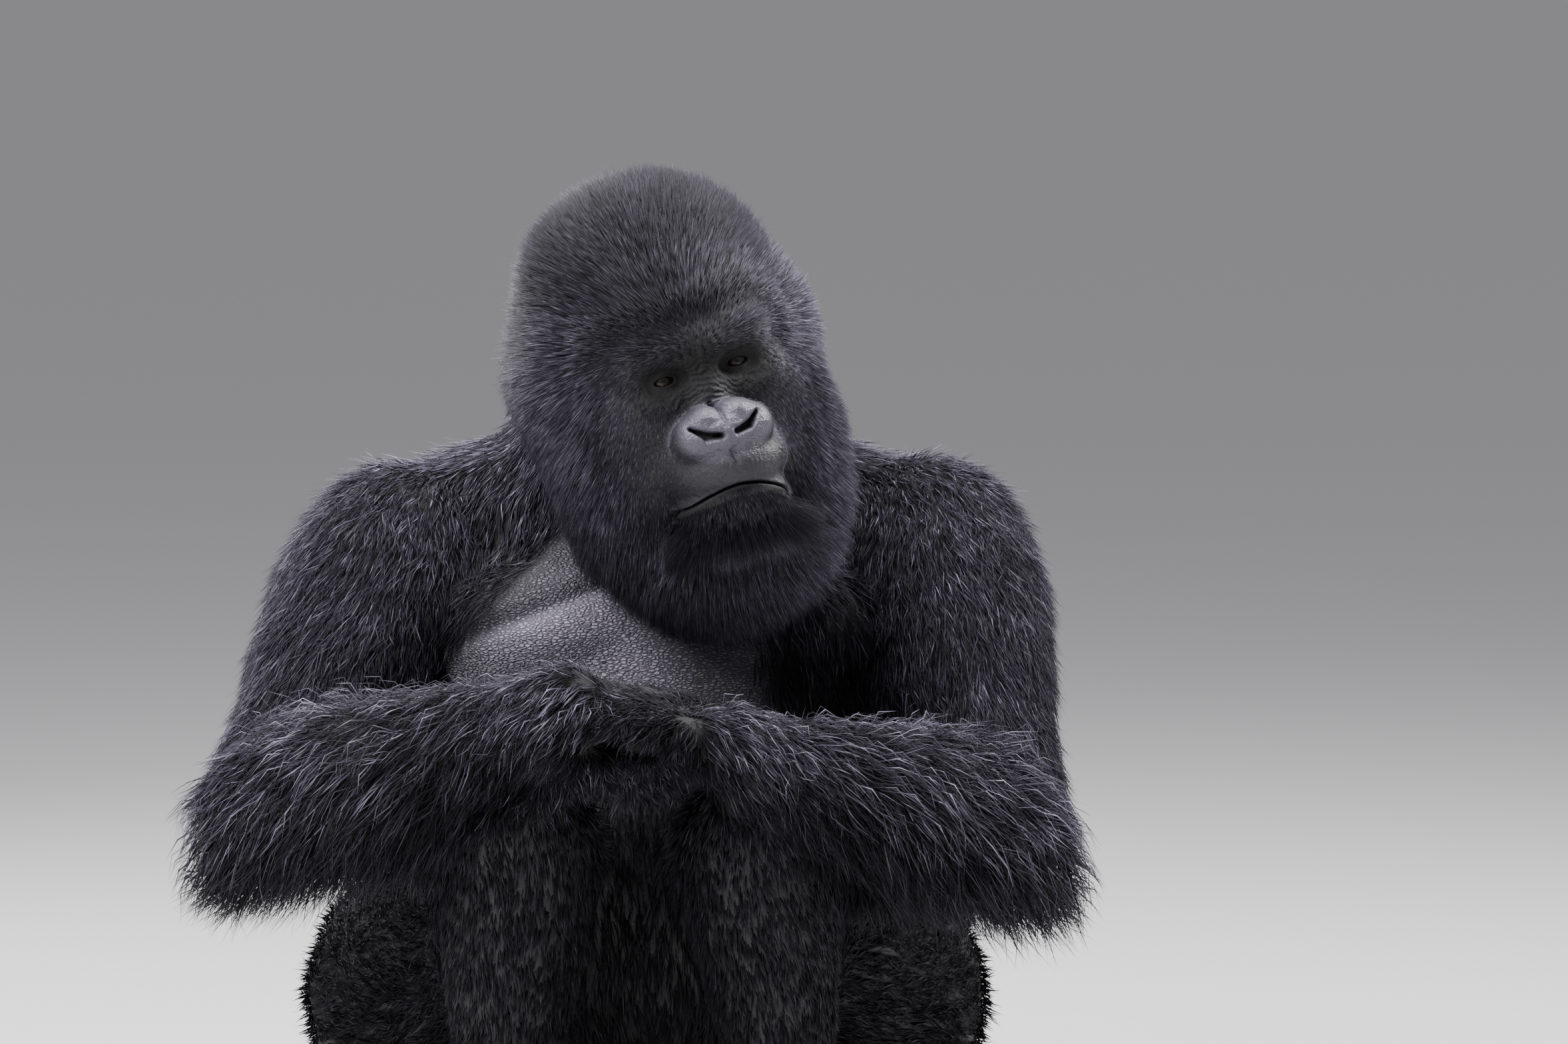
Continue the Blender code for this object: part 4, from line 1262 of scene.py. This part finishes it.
coat_piece("coat_crown", front_head & (above > 0.015), *head_axis, 2, 0.77, clump=0.25, clump_size=0.012)
coat_piece("coat_face", lower_head & (behind < 0.070), *head_axis, 2, thickness=0.85)
coat_piece("coat_cheeks", lower_head & (behind >= 0.070), *head_axis, 2, 0.62, clump=0.45, clump_size=0.012)
coat_piece("coat_back_of_head", is_head & (behind > 0.135), *head_axis, 2, 0.33, thickness=1.4)
coat_piece("coat_neck", triangle_name == "neck", *trunk_axis, 3)
coat_piece("coat_chest", triangle_name == "chest", *trunk_axis, 3, 0.95, curl=0.16)
coat_piece("coat_loins", triangle_name == "abdomen", *trunk_axis, 3, 0.75, curl=0.12, clump=0.12)
for side in ("right", "left"):
    shoulder, elbow, wrist, hip, knee, ankle = (joint(joint_name, side) for joint_name in JOINTS)
    coat_piece("coat_upper_arm_" + side, triangle_name == "upper_arm_" + side, shoulder, elbow, 3,
               curl=0.22, clump=0.45, clump_size=0.013)
    coat_piece("coat_forearm_" + side, np.isin(triangle_name, ("forearm_" + side, "hand_" + side)),
               elbow, wrist, 4, curl=0.42, clump=0.60, clump_size=0.016)
    coat_piece("coat_thigh_" + side, triangle_name == "thigh_" + side, hip, knee, 3, 0.85,
               curl=0.12, clump=0.15)
    coat_piece("coat_shin_" + side, np.isin(triangle_name, ("shin_" + side, "foot_" + side)),
               ankle, knee, 3)

# ---------------------------------------------------------------------------
# The studio: a plain pale floor, soft lights and a camera at eye height.
# ---------------------------------------------------------------------------
floor_mass = bmesh.new()
bmesh.ops.create_grid(floor_mass, x_segments=1, y_segments=1, size=200)
floor = made_piece("floor", floor_mass)
pale = Finish("pale_floor")
pale.surface(Base_Color=(0.62, 0.62, 0.61, 1), Roughness=0.9)
dressed(floor, pale.material)

world = bpy.data.worlds.new("studio")
world.use_nodes = True
sky = world.node_tree.nodes["Background"]
sky.inputs["Color"].default_value = (0.94, 0.93, 1.0, 1)
sky.inputs["Strength"].default_value = 0.42
bpy.context.scene.world = world


def soft_light(name, place, size, power, colour):
    """A square soft box turned towards the eyes."""
    light = bpy.data.lights.new(name, "AREA")
    light.size = size
    light.energy = power
    light.color = colour
    holder = bpy.data.objects.new(name, light)
    holder.location = place
    holder.rotation_euler = (eyes_middle - Vector(place)).to_track_quat("-Z", "Y").to_euler()
    bpy.context.scene.collection.objects.link(holder)


soft_light("sky", (-0.2, 0.2, 3.2), 2.4, 172, (0.97, 0.96, 1.0))
soft_light("key", (-1.9, -1.9, 2.5), 1.4, 92, (1.0, 0.98, 1.0))
soft_light("rim_left", (-1.6, 1.8, 1.9), 1.0, 60, (1.0, 0.98, 1.0))
soft_light("rim_right", (2.2, 0.9, 2.4), 1.0, 120, (1.0, 0.98, 1.0))

CAMERA_DISTANCE = 8.0
CAMERA_DROP = math.radians(5)
SCALE_AT_EYES = 0.00063
IMAGE_WIDTH = 2355
SENSOR = 36.0
CAMERA_ASIDE = 0.0816
CAMERA_BELOW = 0.143
camera_data = bpy.data.cameras.new("camera")
camera_data.sensor_width = SENSOR
camera_data.lens = SENSOR * CAMERA_DISTANCE / SCALE_AT_EYES / IMAGE_WIDTH
camera_data.clip_end = 100
camera = bpy.data.objects.new("camera", camera_data)
view_way = Vector((0.0, math.cos(CAMERA_DROP), -math.sin(CAMERA_DROP)))
view_up = Vector((0.0, math.sin(CAMERA_DROP), math.cos(CAMERA_DROP)))
aim = eyes_middle + Vector((CAMERA_ASIDE, 0.0, 0.0)) - view_up * CAMERA_BELOW
camera.location = aim - view_way * CAMERA_DISTANCE
camera.rotation_euler = view_way.to_track_quat("-Z", "Y").to_euler()
bpy.context.scene.collection.objects.link(camera)
bpy.context.scene.camera = camera
